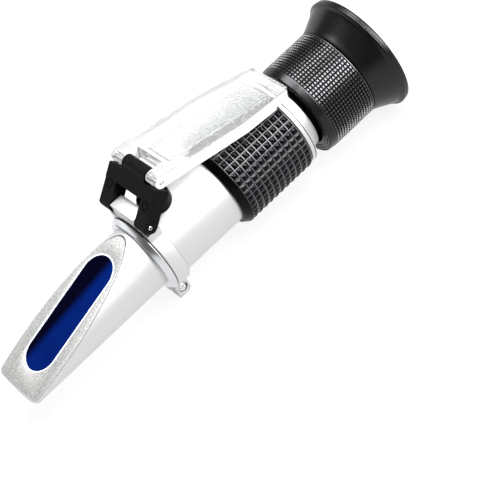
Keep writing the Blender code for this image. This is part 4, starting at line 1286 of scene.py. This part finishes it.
def link_outline():
    """The link's side view: round at the pin, with the knuckle at the other end."""
    reach = COVER_PIVOT - LINK_PIVOT
    centre = (reach.dot(LINK_ALONG), reach.dot(LINK_INWARD))
    low_angle = pi + asin((centre[1] - WEB_BOTTOM) / KNUCKLE_RADIUS)
    high_angle = 3 * pi - asin((LINK_THICK - centre[1]) / KNUCKLE_RADIUS)
    outline = arc((0.0, 0.0), LINK_THICK, pi / 2, 3 * pi / 2, LINK_END_STEPS)
    outline += [(LINK_SHOULDER, -LINK_THICK), (LINK_SHOULDER, WEB_BOTTOM)]
    outline += arc(centre, KNUCKLE_RADIUS, low_angle, high_angle)
    return link_view(outline)


def make_link():
    """The black link."""
    past = PIN_REACH + CUT_OVERRUN
    low = -LINK_THICK - CUT_OVERRUN
    high = LINK_THICK + 2 * CUT_OVERRUN
    blank = across("hinge_link", link_outline(), -PIN_REACH, PIN_REACH)
    link = make_piece("hinge_link", blank, PLASTIC)
    arm_inner = LUG_HALF + ARM_GAP
    rib_start = LINK_SHOULDER - LINK_RIB
    window = [(low, low), (rib_start, low), (rib_start, WEB_BOTTOM), (LINK_WINDOW, WEB_BOTTOM)]
    window += [(LINK_WINDOW, high), (low, high)]
    cut(link, across("window", link_view(window), -arm_inner, arm_inner))
    far = (COVER_PIVOT - LINK_PIVOT).length + high
    corner = link_view(rectangle(LINK_SHOULDER, far, low, high))
    cut(link, across("near_corner", corner, -past, -KNUCKLE_HALF))
    cut(link, across("far_corner", corner, KNUCKLE_HALF, past))
    step = link_view(rectangle(low, LINK_WINDOW, ARM_TOP, high))
    cut(link, across("step", step, -past, past))
    for way in (-1, 1):
        cut(link, corner_tool(way))
        cut(link, mark_tool(way))
    drill(link, LINK_PIVOT, LINK_PIN_RADIUS, past)
    drill(link, COVER_PIVOT, COVER_PIN_RADIUS, past)
    ease_edges(link, FINE_EASE, LINK_EASE_ANGLE)
    return dress(link, "hinge_link", "hinge_bracket")


def corner_tool(way):
    """What rounds an arm's outer corner at the pin end, seen from above."""
    start = -LINK_THICK
    middle = PIN_REACH - LINK_CORNER
    before, past = start - CUT_OVERRUN, PIN_REACH + CUT_OVERRUN
    outline = arc((start + LINK_CORNER, middle), LINK_CORNER, pi / 2, pi, CORNER_STEPS)
    outline += [(before, middle), (before, past), (start + LINK_CORNER, past)]
    loops = []
    for inward in (-LINK_THICK - CUT_OVERRUN, LINK_THICK + CUT_OVERRUN):
        loop = []
        for along, side in outline:
            x, z = on_link(along, inward)
            loop.append(Vector((x, way * side, z)))
        loops.append(loop)
    return stacked("corner", loops)


def mark_tool(way):
    """The ring-shaped mark of an ejector pin in an arm's top."""
    x, z = on_link(MARK_ALONG, 0.0)
    centre = Vector((x, way * MARK_SIDE, z))
    loops = []
    for radius, level in (
        (MARK_RADIUS, ARM_TOP - MARK_DEPTH),
        (MARK_RADIUS, ARM_TOP + MARK_DEPTH),
        (MARK_RADIUS - MARK_WIDTH, ARM_TOP + MARK_DEPTH),
        (MARK_RADIUS - MARK_WIDTH, ARM_TOP - MARK_DEPTH),
    ):
        loop = []
        for side, along in arc((0.0, 0.0), radius, 0.0, 2 * pi)[:-1]:
            loop.append(centre + LINK_ALONG * along + SIDEWAYS * side + LINK_INWARD * level)
        loops.append(loop)
    return stacked("mark", loops, ring=True)


LINK = make_link()
print("link faces:", len(LINK.data.polygons))

# %% [markdown]
# The cover is a clear moulding that folds over the nose and presses the sample flat.
# It has a thick rim on three sides, a narrow stippled middle sunk into its underside,
# and two ears that hold a thin pin. Clear plastic shows every edge, so the rim is
# modelled in full: the side view gives the thickness, the plan gives the taper, and the
# recess is cut from below. The outer sides are made whiter as painted light, with a
# grey line of painted shade along each border, and the eased edges are painted grey
# as shade. Both get a finish of their own, on the faces that a test of their place and
# normal finds.

# %% Mould the clear cover and its pin
_, COVER_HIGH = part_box("cover_plate")
COVER_TILT = radians(-12.3)
COVER_ALONG = Vector((cos(COVER_TILT), 0.0, sin(COVER_TILT)))
COVER_INWARD = Vector((-sin(COVER_TILT), 0.0, cos(COVER_TILT)))
COVER_HALF = COVER_HIGH.y
COVER_END_HALF = 0.0097
COVER_TAPER_START = 0.0341
COVER_CORNER = 0.0012
COVER_LIFT = 0.0024
COVER_SLAB = 0.0030
RECESS_LEVEL = COVER_LIFT - COVER_SLAB
COVER_END_THICK = 0.0038
COVER_RAIL = 0.0046
COVER_LENGTH = (COVER_HIGH.x - COVER_PIVOT.x + COVER_LIFT * sin(COVER_TILT)) / cos(COVER_TILT)
NOTCH_DEPTH = 0.0049
RECESS_HALF = 0.0056
RECESS_START = 0.0080
RECESS_END_MARGIN = 0.0060
RAIL_SETBACK = 0.0005
COVER_EASE = 0.00030
COVER_EASE_STEPS = 3
COVER_EASE_ANGLE = radians(40)
EAR_STEPS = 16
SIDE_SHADE_LINE_MM = 0.62
SIDE_BLUR_MM = 0.1
SIDE_WHITE = (0.97, 0.98, 0.98)
SIDE_SHADE_GREY = (0.16, 0.17, 0.17)
# Limits on a face's normal: the recess floor's, the flat faces' and the underside's.
FLAT_ON = 0.99
FLAT_ENOUGH = 0.97
UNDERSIDE = -0.3


def on_cover(along, side, inward):
    """A point of the cover, measured from its pivot."""
    return COVER_PIVOT + COVER_ALONG * along + SIDEWAYS * side + COVER_INWARD * inward


def taper_at(along):
    """How far out the tapering edge lies."""
    share = (along - COVER_TAPER_START) / (COVER_LENGTH - COVER_TAPER_START)
    return COVER_HALF + (COVER_END_HALF - COVER_HALF) * share


def cover_layer(name, outline, low, high):
    """A plan outline of the cover between two levels."""
    bottom = [on_cover(along, side, low) for along, side in outline]
    top = [on_cover(along, side, high) for along, side in outline]
    return stacked(name, [bottom, top])


def side_plastic():
    """The cover's outer sides: whiter as painted light, with grey lines of painted shade along both
    borders.
    """
    finish = cover_plastic("side_plastic", SIDE_WHITE, 0.10, 0.35)
    middle = COVER_PIVOT + COVER_INWARD * (COVER_LIFT - COVER_RAIL / 2)
    away = finish.height_over(middle, COVER_INWARD).math("ABSOLUTE")
    border = COVER_RAIL / 2 * MM_PER_M - SIDE_SHADE_LINE_MM
    line = finish.part_of(away, border - SIDE_BLUR_MM, border)
    finish.set("Base Color", finish.mix(line, SIDE_WHITE, SIDE_SHADE_GREY))
    flow = finish.grain(0.2, 2.0)
    finish.set("Roughness", 0.06 + flow * 0.10)
    return finish.material


def cover_blank():
    """The cover's side view pulled to its full width."""
    rail_floor = COVER_LIFT - COVER_RAIL
    end_floor = COVER_LIFT - COVER_END_THICK
    rail_end = COVER_LENGTH - RECESS_END_MARGIN - RAIL_SETBACK
    ear_centre = (0.0, COVER_LIFT - COVER_RAIL / 2)
    outline = arc(ear_centre, COVER_RAIL / 2, pi / 2, 3 * pi / 2, EAR_STEPS)
    outline += [(rail_end, rail_floor), (rail_end, end_floor)]
    outline += [(COVER_LENGTH, end_floor), (COVER_LENGTH, COVER_LIFT)]
    sides = []
    for half in (-COVER_HALF, COVER_HALF):
        sides.append([on_cover(along, half, level) for along, level in outline])
    return make_piece("clear_cover", stacked("clear_cover", sides), CLEAR)


def is_recess_floor(face):
    away = (Vector(face.center) - COVER_PIVOT).dot(COVER_INWARD) - RECESS_LEVEL
    flat = face.normal.dot(COVER_INWARD) < -FLAT_ON
    return flat and abs(away) < FINE_EASE and abs(face.center.y) < RECESS_HALF


def is_outer_side(face):
    return abs(face.normal.y) > FACING and abs(face.center.y) > RECESS_HALF + FINE_EASE


def is_eased_edge(face):
    past_ears = (Vector(face.center) - COVER_PIVOT).dot(COVER_ALONG) > COVER_RAIL
    flatness = max(abs(face.normal.dot(way)) for way in (COVER_ALONG, SIDEWAYS, COVER_INWARD))
    return past_ears and flatness < FLAT_ENOUGH and face.normal.dot(COVER_INWARD) > UNDERSIDE


def make_cover():
    """The clear cover."""
    cover = cover_blank()
    past = COVER_HALF + CUT_OVERRUN
    low, high = COVER_LIFT - COVER_RAIL - CUT_OVERRUN, COVER_LIFT + CUT_OVERRUN
    before, beyond = COVER_TAPER_START - CUT_OVERRUN, COVER_LENGTH + CUT_OVERRUN
    corner = COVER_LENGTH - COVER_CORNER
    for way in (-1, 1):
        taper = [
            (before, way * taper_at(before)),
            (corner, way * taper_at(corner)),
            (beyond, way * (taper_at(corner) - COVER_CORNER - CUT_OVERRUN)),
            (beyond, way * past),
            (before, way * past),
        ]
        cut(cover, cover_layer("taper", taper, low, high))
    recess = rectangle(RECESS_START, COVER_LENGTH - RECESS_END_MARGIN, -RECESS_HALF, RECESS_HALF)
    cut(cover, cover_layer("recess", recess, low, RECESS_LEVEL))
    notch_half = KNUCKLE_HALF + ARM_GAP
    notch = rectangle(-COVER_RAIL, NOTCH_DEPTH, -notch_half, notch_half)
    cut(cover, cover_layer("notch", notch, low, high))
    drill(cover, COVER_PIVOT, COVER_PIN_RADIUS, past)
    ease_edges(cover, COVER_EASE, COVER_EASE_ANGLE, COVER_EASE_STEPS)
    paint_faces(cover, STIPPLED, is_recess_floor)
    # Painted light and shade: whiter outer sides with grey border lines, and grey eased edges.
    paint_faces(cover, side_plastic(), is_outer_side)
    paint_faces(cover, EDGE_CLEAR, is_eased_edge)
    return dress(cover, "daylight_cover", "cover_plate")


def make_cover_pin():
    """The thin steel pin, seen through the clear ears."""
    reach = COVER_PIN_REACH
    mesh = bar("thin_pin", COVER_PIVOT, SIDEWAYS, COVER_PIN_RADIUS, -reach, reach, PIN_EASE)
    return dress(make_piece("thin_pin", mesh, STEEL), "hinge_link", "cover_pin")


make_cover()
make_cover_pin()
print("cover length in mm:", round(COVER_LENGTH * MM_PER_M, 1))

# %% [markdown]
# Under the folded cover a rubber plug keeps dust from the calibration screw. Its dome
# is a small turned section standing upright, and a cylinder as wide as the tube cuts
# its underside to fit. The slotted brass screw below it only shows when the plug is
# pulled off.

# %% Make the cap and the calibration screw
CAP_STEM_RADIUS = 0.0030
CAP_RISE = 0.0027
CAP_CROWN = 0.0042
CAP_EASE = 0.0012
TRIM_SLOT = 0.0006
TRIM_SLOT_DEPTH = 0.0007
UPRIGHT_STEPS = 72


def about_cap(height, reach, angle):
    """A point of a piece that is turned about the cap's upright axis."""
    return CAP_PLACE + Vector((reach * cos(angle), reach * sin(angle), height))


def make_cap():
    """The domed rubber plug."""
    surface = AXIS_Z + TUBE_RADIUS
    low = surface - CAP_RISE
    corners = [
        (low, 0.0, 0.0),
        (low, CAP_RADIUS, 0.0),
        (surface + CAP_RISE, CAP_RADIUS, CAP_EASE),
        (surface + CAP_CROWN, CAP_RADIUS - CAP_EASE, CAP_EASE),
        (surface + CAP_CROWN, 0.0, 0.0),
    ]
    cap = spun("dust_cap", corners, RUBBER, place=about_cap, steps=UPRIGHT_STEPS)
    start, end = CAP_PLACE.x - 2 * CAP_RADIUS, CAP_PLACE.x + 2 * CAP_RADIUS
    cut(cap, plug("saddle", start, end, TUBE_RADIUS + HOLE_GAP))
    add(cap, bar("stem", CAP_PLACE, UPWARDS, CAP_STEM_RADIUS, BOSS_TOP, surface + CAP_RISE / 2))
    return dress(cap, "rubber_cap", "calibration_cap")


def make_trim_screw():
    """The slotted calibration screw."""
    mesh = bar("trim_screw_body", CAP_PLACE, UPWARDS, TRIM_RADIUS, TRIM_LOW.z, TRIM_HIGH.z, PIN_EASE)
    screw = make_piece("trim_screw_body", mesh, BRASS)
    sides = (CAP_PLACE.x - 2 * TRIM_RADIUS, CAP_PLACE.x + 2 * TRIM_RADIUS)
    slot = rectangle(*sides, TRIM_HIGH.z - TRIM_SLOT_DEPTH, TRIM_HIGH.z + CUT_OVERRUN)
    cut(screw, across("slot", slot, -TRIM_SLOT / 2, TRIM_SLOT / 2))
    return dress(screw, "trim_screw", "calibration_screw")


make_cap()
make_trim_screw()
print("cap radius in mm:", round(CAP_RADIUS * MM_PER_M, 2))

# %% [markdown]
# The grip's pyramids and the focus ring's studs repeat all round a drum, which is a
# task for Geometry Nodes. One tree serves both: it lays out points by column along
# the drum and by row around it, turns a small four-sided frustum to face outwards at
# each, and makes them real. Moulded rubber is never quite flat, so a swell above 1
# rounds the faces: the steepest part is then at the foot, as on a pillow. Sizes and
# counts are named inputs, so the same tree gives broad pyramids on the grip and tiny
# flat studs on the ring.

# %% Build the tree that studs a drum
HALF_DIAGONAL = sqrt(0.5)


class Recipe(Board):
    """A Geometry Nodes tree whose inputs are found again by name."""

    def __init__(self, name):
        super().__init__(bpy.data.node_groups.new(name, "GeometryNodeTree"))
        sockets = self.tree.interface
        sockets.new_socket("Geometry", in_out="OUTPUT", socket_type="NodeSocketGeometry")
        self.entry = self.tree.nodes.new("NodeGroupInput")
        self.identifiers = {}

    def input(self, name, kind="NodeSocketFloat"):
        made = self.tree.interface.new_socket(name, in_out="INPUT", socket_type=kind)
        self.identifiers[name] = made.identifier
        return Wire(self, self.entry.outputs[name])

    def finish(self, geometry, material):
        """Ends the tree: copies are made real and take the material."""
        real = self.node("GeometryNodeRealizeInstances", None, {"Geometry": geometry})
        sockets = {"Geometry": real["Geometry"], "Material": material}
        painted = self.node("GeometryNodeSetMaterial", None, sockets)
        self.node("NodeGroupOutput", None, {"Geometry": painted["Geometry"]})

    def grow(self, name, values):
        """Runs the tree and keeps its result as a plain piece."""
        piece = put_in_scene(name, bpy.data.meshes.new(name))
        growth = piece.modifiers.new(name, "NODES")
        growth.node_group = self.tree
        for key, value in values.items():
            growth[self.identifiers[key]] = value
        return freeze(piece)


def studs_recipe():
    """Frustums in columns along a drum and rows around it, each a unit square at its foot."""
    recipe = Recipe("studded_drum")
    start, pitch = recipe.input("Start"), recipe.input("Pitch")
    columns = recipe.input("Columns", "NodeSocketInt")
    rows = recipe.input("Rows", "NodeSocketInt")
    radius, phase = recipe.input("Radius"), recipe.input("Phase")
    length, width = recipe.input("Length"), recipe.input("Width")
    height, tip = recipe.input("Height"), recipe.input("Tip share")
    levels, swell = recipe.input("Levels", "NodeSocketInt"), recipe.input("Swell")
    axis_height = recipe.input("Axis height")
    material = recipe.input("Material", "NodeSocketMaterial")
    number = recipe.node("GeometryNodeInputIndex")["Index"]
    column = number % columns
    row = (number - column) / columns
    angle = row * (2 * pi) / rows + phase
    place = recipe.node("ShaderNodeCombineXYZ", None, {
        0: start + (column + 0.5) * pitch,
        1: radius * angle.math("COSINE", angle),
        2: axis_height + radius * angle.math("SINE", angle),
    })[0]
    points = recipe.node("GeometryNodePoints", None, {"Count": columns * rows, "Position": place})
    frustum = recipe.node("GeometryNodeMeshCone", {"fill_type": "NGON"}, {
        "Vertices": 4,
        "Side Segments": levels,
        "Radius Top": tip * HALF_DIAGONAL,
        "Radius Bottom": HALF_DIAGONAL,
        "Depth": height,
    })
    square = recipe.node("GeometryNodeTransform", None, {
        "Geometry": frustum["Mesh"],
        "Rotation": (0.0, 0.0, pi / 4),
    })
    position = recipe.node("GeometryNodeInputPosition")["Position"]
    spot = recipe.node("ShaderNodeSeparateXYZ", None, {0: position})
    reach = 1 - (1 - tip) * (spot["Z"] / height)
    rise = height * (1 - reach.power(swell)) / (1 - tip.power(swell))
    raised = recipe.node("ShaderNodeCombineXYZ", None, {0: spot["X"], 1: spot["Y"], 2: rise})[0]
    pillow = recipe.node("GeometryNodeSetPosition", None, {
        "Geometry": square["Geometry"],
        "Position": raised,
    })
    size = recipe.node("ShaderNodeCombineXYZ", None, {0: length, 1: width, 2: 1.0})[0]
    sized = recipe.node("GeometryNodeTransform", None, {"Geometry": pillow["Geometry"], "Scale": size})
    lean = recipe.node("ShaderNodeCombineXYZ", None, {0: angle - pi / 2, 1: 0.0, 2: 0.0})[0]
    turn = recipe.node("FunctionNodeEulerToRotation", None, {"Euler": lean})["Rotation"]
    copies = recipe.node("GeometryNodeInstanceOnPoints", None, {
        "Points": points["Points"],
        "Instance": sized["Geometry"],
        "Rotation": turn,
    })
    recipe.finish(copies["Instances"], material)
    return recipe


STUDS = studs_recipe()
print("inputs of the tree:", ", ".join(STUDS.identifiers))

# %% [markdown]
# The grip is a rubber sleeve. A smooth bevelled lip shows at its front, then eleven
# columns of pyramids with narrow grooves between them. The sleeve is spun, and the tree
# adds the pyramids, sunk a little so that no gap shows. The first row is turned to
# where the photograph has it.

# %% Make the grip
GRIP_LIP = 0.0028
GRIP_LIP_BEVEL = 0.0022
GRIP_LIP_DROP = 0.0016
GRIP_GROOVE_DROP = 0.00045
GRIP_COLUMNS = 11
GRIP_ROWS = 40
GRIP_PHASE = radians(7.92)
PYRAMID_GAP = 0.00026
PYRAMID_SUNK = 0.00005
PYRAMID_TIP_SHARE = 0.10
PYRAMID_LEVELS = 6
PYRAMID_SWELL = 1.7
GRIP_TAIL = 0.0002


def make_grip():
    """The rubber sleeve and its pyramids."""
    inner = TUBE_RADIUS + RING_GAP
    groove = GRIP_RADIUS - GRIP_GROOVE_DROP
    lip_end = GRIP_START + GRIP_LIP
    corners = [
        (GRIP_START, inner, 0.0),
        (GRIP_START, GRIP_RADIUS - GRIP_LIP_DROP, 4 * TENTH_MM),
        (GRIP_START + GRIP_LIP_BEVEL, GRIP_RADIUS, 5 * TENTH_MM),
        (lip_end, GRIP_RADIUS, TENTH_MM),
        (lip_end, groove, 0.0),
        (GRIP_END, groove, 2 * TENTH_MM),
        (GRIP_END, inner, 0.0),
    ]
    sleeve = spun("grip_sleeve", corners, GROOVE_RUBBER)
    # The sleeve's lighter grey shows between the pyramids, partly as dust and partly as painted light.
    paint_faces(sleeve, LIP_RUBBER, lambda face: face.center.x < lip_end - FINE_EASE)
    dress(sleeve, "main_body", "rubber_grip")
    pitch = (GRIP_END - GRIP_TAIL - lip_end) / GRIP_COLUMNS
    around = 2 * pi * groove / GRIP_ROWS
    height = GRIP_GROOVE_DROP + PYRAMID_SUNK
    pyramids = STUDS.grow("grip_pyramids", {
        "Start": lip_end,
        "Pitch": pitch,
        "Columns": GRIP_COLUMNS,
        "Rows": GRIP_ROWS,
        "Radius": groove - PYRAMID_SUNK,
        "Phase": GRIP_PHASE,
        "Length": pitch - PYRAMID_GAP,
        "Width": around - PYRAMID_GAP,
        "Height": height,
        "Tip share": PYRAMID_TIP_SHARE,
        "Levels": PYRAMID_LEVELS,
        "Swell": PYRAMID_SWELL,
        "Axis height": AXIS_Z,
        "Material": RUBBER,
    })
    dress(pyramids, "main_body")
    return pyramids


PYRAMIDS = make_grip()
print("pyramids:", GRIP_COLUMNS * GRIP_ROWS, "faces:", len(PYRAMIDS.data.polygons))

# %% [markdown]
# Behind the grip the bright collar steps down to a narrower neck. A thin dark line
# runs round it just before the step, as a groove that holds shadow. The groove is cut
# into the section, and its faces are painted black as painted shade, so that the line
# also reads from far away.

# %% Make the collar
COLLAR_GAP = 0.0003
COLLAR_LENGTH = 0.0020
COLLAR_START = TUBE_END + COLLAR_GAP
COLLAR_END = COLLAR_START + COLLAR_LENGTH
NECK_RADIUS = 0.0125
NECK_WALL = 0.00175
LINE_SETBACK = 0.00035
LINE_WIDTH = 0.00025
LINE_DEPTH = 0.00030


def make_collar():
    """The stepped collar with its dark line."""
    bore = NECK_RADIUS - NECK_WALL
    inside = TUBE_RADIUS - TUBE_WALL - HOLE_GAP
    line_end = COLLAR_END - LINE_SETBACK
    line_start = line_end - LINE_WIDTH
    corners = [
        (COLLAR_INNER_START, bore, 0.0),
        (COLLAR_INNER_START, inside, 2 * TENTH_MM),
        (COLLAR_START, inside, 0.0),
        (COLLAR_START, COLLAR_RADIUS, 2 * TENTH_MM),
        (line_start, COLLAR_RADIUS, 0.5 * TENTH_MM),
        (line_start, COLLAR_RADIUS - LINE_DEPTH, 0.0),
        (line_end, COLLAR_RADIUS - LINE_DEPTH, 0.0),
        (line_end, COLLAR_RADIUS, 0.5 * TENTH_MM),
        (COLLAR_END, COLLAR_RADIUS, 1.5 * TENTH_MM),
        (COLLAR_END, NECK_RADIUS, TENTH_MM),
        (NECK_END, NECK_RADIUS, 3 * TENTH_MM),
        (NECK_END, bore, 2 * TENTH_MM),
    ]
    collar = spun("bright_collar", corners, METAL)

    def is_line(face):
        return line_start < face.center.x < line_end and radius_of(face) > NECK_RADIUS

    # Painted shade: the groove's faces are black.
    paint_faces(collar, INNER_BLACK, is_line)
    return dress(collar, "main_body", "rear_collar")


make_collar()
print("collar radius in mm:", round(COLLAR_RADIUS * MM_PER_M, 2))

# %% [markdown]
# The focus ring is black anodised metal. Its front is a dark face with turned rings
# and a smooth bevel that takes the long highlight. Behind it stand fifteen columns of
# tiny square studs in six panels. Each panel ends in a single row between two deeper
# grooves, so the section is dented there as it is spun: the dent is a function of the
# angle.

# %% Make the focus ring
FOCUS_BEVEL = 0.0025
FOCUS_FRONT_DROP = 0.0004
FACE_RING_DEPTH = 0.00025
FACE_RING_WIDTH = 0.00035
FACE_RINGS = 3
FACE_RING_PITCH = 0.0011
STUD_SETBACK = 0.0028
STUD_TAIL = 0.0006
STUD_START = FOCUS_START + STUD_SETBACK
STUD_END = FOCUS_END - STUD_TAIL
STUD_COLUMNS = 15
PANELS = 6
ROWS_PER_PANEL = 13
PANEL_PHASE = radians(36.2)
STUD_SHARE = 0.68
STUD_HEIGHT = 0.00022
STUD_SUNK = 0.00006
STUD_TIP_SHARE = 0.82
GROOVE_DEPTH = 0.00030
GROOVE_HALF_ANGLE = radians(1.0)
GROOVE_AWAY = radians(2.31)
FOCUS_STEPS = 360
FOCUS_POCKET_DEPTH = 0.0060
FOCUS_POCKET_GAP = 0.0003


def groove_dent(along, radius, angle):
    """How deep the ring is cut at an angle, between its stud columns' ends."""
    if not STUD_START <= along <= STUD_END or radius < FOCUS_RADIUS - 2 * STUD_HEIGHT:
        return 0.0
    turn = (angle - PANEL_PHASE) % (2 * pi / PANELS)
    turn = min(turn, 2 * pi / PANELS - turn)
    return GROOVE_DEPTH if abs(turn - GROOVE_AWAY) < GROOVE_HALF_ANGLE else 0.0


def make_focus_ring():
    """The ring and its studs."""
    pocket = NECK_RADIUS + FOCUS_POCKET_GAP
    pocket_end = FOCUS_START + FOCUS_POCKET_DEPTH
    bore = BARREL_RADIUS + HOLE_GAP
    base = FOCUS_RADIUS - STUD_HEIGHT
    corners = [(FOCUS_START, pocket, 2 * TENTH_MM)]
    for number in range(FACE_RINGS):
        radius = pocket + (number + 1) * FACE_RING_PITCH
        corners += [
            (FOCUS_START, radius, 0.5 * TENTH_MM),
            (FOCUS_START + FACE_RING_DEPTH, radius, 0.0),
            (FOCUS_START + FACE_RING_DEPTH, radius + FACE_RING_WIDTH, 0.0),
            (FOCUS_START, radius + FACE_RING_WIDTH, 0.5 * TENTH_MM),
        ]
    corners += [
        (FOCUS_START, FOCUS_RADIUS - FOCUS_FRONT_DROP, 3 * TENTH_MM),
        (FOCUS_START + FOCUS_BEVEL, FOCUS_RADIUS, 4 * TENTH_MM),
        (STUD_START - TENTH_MM, FOCUS_RADIUS, 0.5 * TENTH_MM),
        (STUD_START, base, 0.0),
        (STUD_END, base, 0.0),
        (STUD_END + TENTH_MM, FOCUS_RADIUS, 0.5 * TENTH_MM),
        (FOCUS_END, FOCUS_RADIUS, 2 * TENTH_MM),
        (FOCUS_END, bore, 0.0),
        (pocket_end, bore, 0.0),
        (pocket_end, pocket, 0.0),
    ]
    ring = spun("focus_drum", corners, RING_BLACK, steps=FOCUS_STEPS, dent=groove_dent)

    def is_between_studs(face):
        return STUD_START < face.center.x < STUD_END and radius_of(face) > base - 2 * GROOVE_DEPTH

    def is_shoulder(face):
        on_edge = FOCUS_START + FOCUS_BEVEL < face.center.x < STUD_START or face.center.x > STUD_END
        return on_edge and radius_of(face) > base

    # Painted shade: the drum between the studs is near-black. Painted highlight: the shoulders take
    # the studs' lighter grey as bright edge lines.
    paint_faces(ring, STUD_GAP_SHADE, is_between_studs)
    paint_faces(ring, STUD_WEAR_AND_HIGHLIGHT, is_shoulder)
    dress(ring, "eyepiece", "focus_ring")
    pitch = (STUD_END - STUD_START) / STUD_COLUMNS
    rows = PANELS * ROWS_PER_PANEL
    studs = STUDS.grow("focus_studs", {
        "Start": STUD_START,
        "Pitch": pitch,
        "Columns": STUD_COLUMNS,
        "Rows": rows,
        "Radius": base - STUD_SUNK,
        "Phase": PANEL_PHASE,
        "Length": pitch * STUD_SHARE,
        "Width": 2 * pi * base / rows * STUD_SHARE,
        "Height": STUD_HEIGHT + STUD_SUNK,
        "Tip share": STUD_TIP_SHARE,
        "Levels": 1,
        "Swell": 1.0,
        "Axis height": AXIS_Z,
        "Material": STUD_WEAR_AND_HIGHLIGHT,
    })
    dress(studs, "eyepiece")
    return studs


FOCUS_STUDS = make_focus_ring()
print("studs:", STUD_COLUMNS * PANELS * ROWS_PER_PANEL, "faces:", len(FOCUS_STUDS.data.polygons))

# %% [markdown]
# The eyecup is one rubber moulding: it grips the barrel, flares out in a cone and ends
# in a rolled rim with a thin lip behind it. The rim swells slightly before the lip. A
# groove between rim and lip draws the fine double line of the photograph. Inside, the
# barrel and the eye lens show from behind.

# %% Make the eyecup, the barrel and the eye lens
CUP_FOOT_RADIUS = 0.0170
CUP_FLARE_RADIUS = 0.0208
CUP_RIM_LENGTH = 0.0030
CUP_RIM_SWELL = 0.0008
CUP_LIP_LENGTH = 0.0015
CUP_RIM_START = CUP_END - CUP_RIM_LENGTH
CUP_GROOVE_START = CUP_END - CUP_LIP_LENGTH
CUP_GROOVE_WIDTH = 0.00025
CUP_GROOVE_DEPTH = 0.0003
CUP_LIP_DROP = 0.00018
CUP_WALL = 0.0016
CUP_FLOOR = 0.0020
CUP_FOOT_FLARE = 0.0007
INNER_RING_GAP = 0.0003
INNER_RING_LENGTH = 0.0012
INNER_RING_WIDTH = 0.0020
BARREL_WALL = 0.0017
LENS_STEPS = 10
LENS_SAG_SHARE = 0.25


def make_eyecup():
    """The flared rubber cup and the thin ring inside it."""
    bore = BARREL_RADIUS + HOLE_GAP
    floor_end = CUP_START + CUP_FLOOR
    groove_end = CUP_GROOVE_START + CUP_GROOVE_WIDTH
    corners = [
        (CUP_START, bore, 0.0),
        (CUP_START, CUP_FOOT_RADIUS, 3 * TENTH_MM),
        (floor_end, CUP_FOOT_RADIUS + CUP_FOOT_FLARE, 15 * TENTH_MM),
        (CUP_RIM_START, CUP_FLARE_RADIUS, 6 * TENTH_MM),
        (CUP_RIM_START + CUP_RIM_SWELL, CUP_RADIUS, 6 * TENTH_MM),
        (CUP_GROOVE_START, CUP_RADIUS, 2 * TENTH_MM),
        (CUP_GROOVE_START, CUP_RADIUS - CUP_GROOVE_DEPTH, 0.0),
        (groove_end, CUP_RADIUS - CUP_GROOVE_DEPTH, 0.0),
        (groove_end, CUP_RADIUS - CUP_LIP_DROP, 2 * TENTH_MM),
        (CUP_END, CUP_RADIUS - CUP_LIP_DROP, 4 * TENTH_MM),
        (CUP_END, CUP_RADIUS - CUP_WALL, 5 * TENTH_MM),
        (CUP_RIM_START, CUP_FLARE_RADIUS - CUP_WALL, 8 * TENTH_MM),
        (floor_end, CUP_FOOT_RADIUS - CUP_WALL, 6 * TENTH_MM),
        (floor_end, bore, 0.0),
    ]
    cup = spun("rubber_eyecup", corners, GLOSS_RUBBER)
    dress(cup, "eyepiece", "eyecup")
    start = floor_end + INNER_RING_GAP
    end = start + INNER_RING_LENGTH
    ring = [
        (start, bore, 0.0),
        (start, bore + INNER_RING_WIDTH, 2 * TENTH_MM),
        (end, bore + INNER_RING_WIDTH, 3 * TENTH_MM),
        (end, bore, 3 * TENTH_MM),
    ]
    dress(spun("cup_ring", ring, INNER_BLACK), "eyepiece", "eyecup_ring")
    return cup


def make_barrel():
    """The black tube that slides in the collar."""
    bore, ease = BARREL_RADIUS - BARREL_WALL, 2 * TENTH_MM
    corners = [
        (BARREL_START, bore, ease),
        (BARREL_START, BARREL_RADIUS, ease),
        (BARREL_END, BARREL_RADIUS, ease),
        (BARREL_END, bore, ease),
    ]
    return dress(spun("black_barrel", corners, INNER_BLACK), "eyepiece", "eyepiece_barrel")


def make_eye_lens():
    """The domed lens at the bottom of the eyecup."""
    low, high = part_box("eye_lens")
    radius = (high.y - low.y) / 2
    sag = (high.x - low.x) * LENS_SAG_SHARE
    section = []
    for side, edge in ((-1, low.x), (1, high.x)):
        steps = range(LENS_STEPS + 1) if side < 0 else reversed(range(LENS_STEPS + 1))
        for step in steps:
            share = step / LENS_STEPS
            section.append((edge - side * sag * share ** 2, radius * share))
    lens = make_piece("glass_eye_lens", spun_mesh("glass_eye_lens", section), LENS)
    return dress(lens, "eyepiece", "eye_lens")


make_eyecup()
make_barrel()
make_eye_lens()
print("eyecup radius in mm:", round(CUP_RADIUS * MM_PER_M, 2))

# %% [markdown]
# What is left is hidden inside: the lens cell, the temperature strip, the scale disc
# and the small rings. Their engineering solids are the right shape, so they stay and
# only take a finish.

# %% Finish the hidden pieces
HIDDEN = {
    INNER_BLACK: [
        "objective_cell", "objective_retainer", "reticle_holder", "reticle_retainer",
        "lens_spacer", "eye_lens_retainer",
    ],
    LENS: ["objective_lens", "reticle", "field_lens"],
    BRASS: ["bimetal_strip"],
    RUBBER: ["focus_o_ring"],
}
for hidden_finish, hidden_nodes in HIDDEN.items():
    for hidden_node in hidden_nodes:
        for material_slot in frame["nodes"][hidden_node].material_slots:
            material_slot.material = hidden_finish
print("hidden nodes:", sum(len(names) for names in HIDDEN.values()))

# %% [markdown]
# The sizes before and after are printed, so that the two boxes can be compared.

# %% Print the sizes
NEW_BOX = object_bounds()
[[list(corner) for corner in box] for box in (CAD_BOX, NEW_BOX)]
print("box before and after:", CAD_BOX, NEW_BOX)
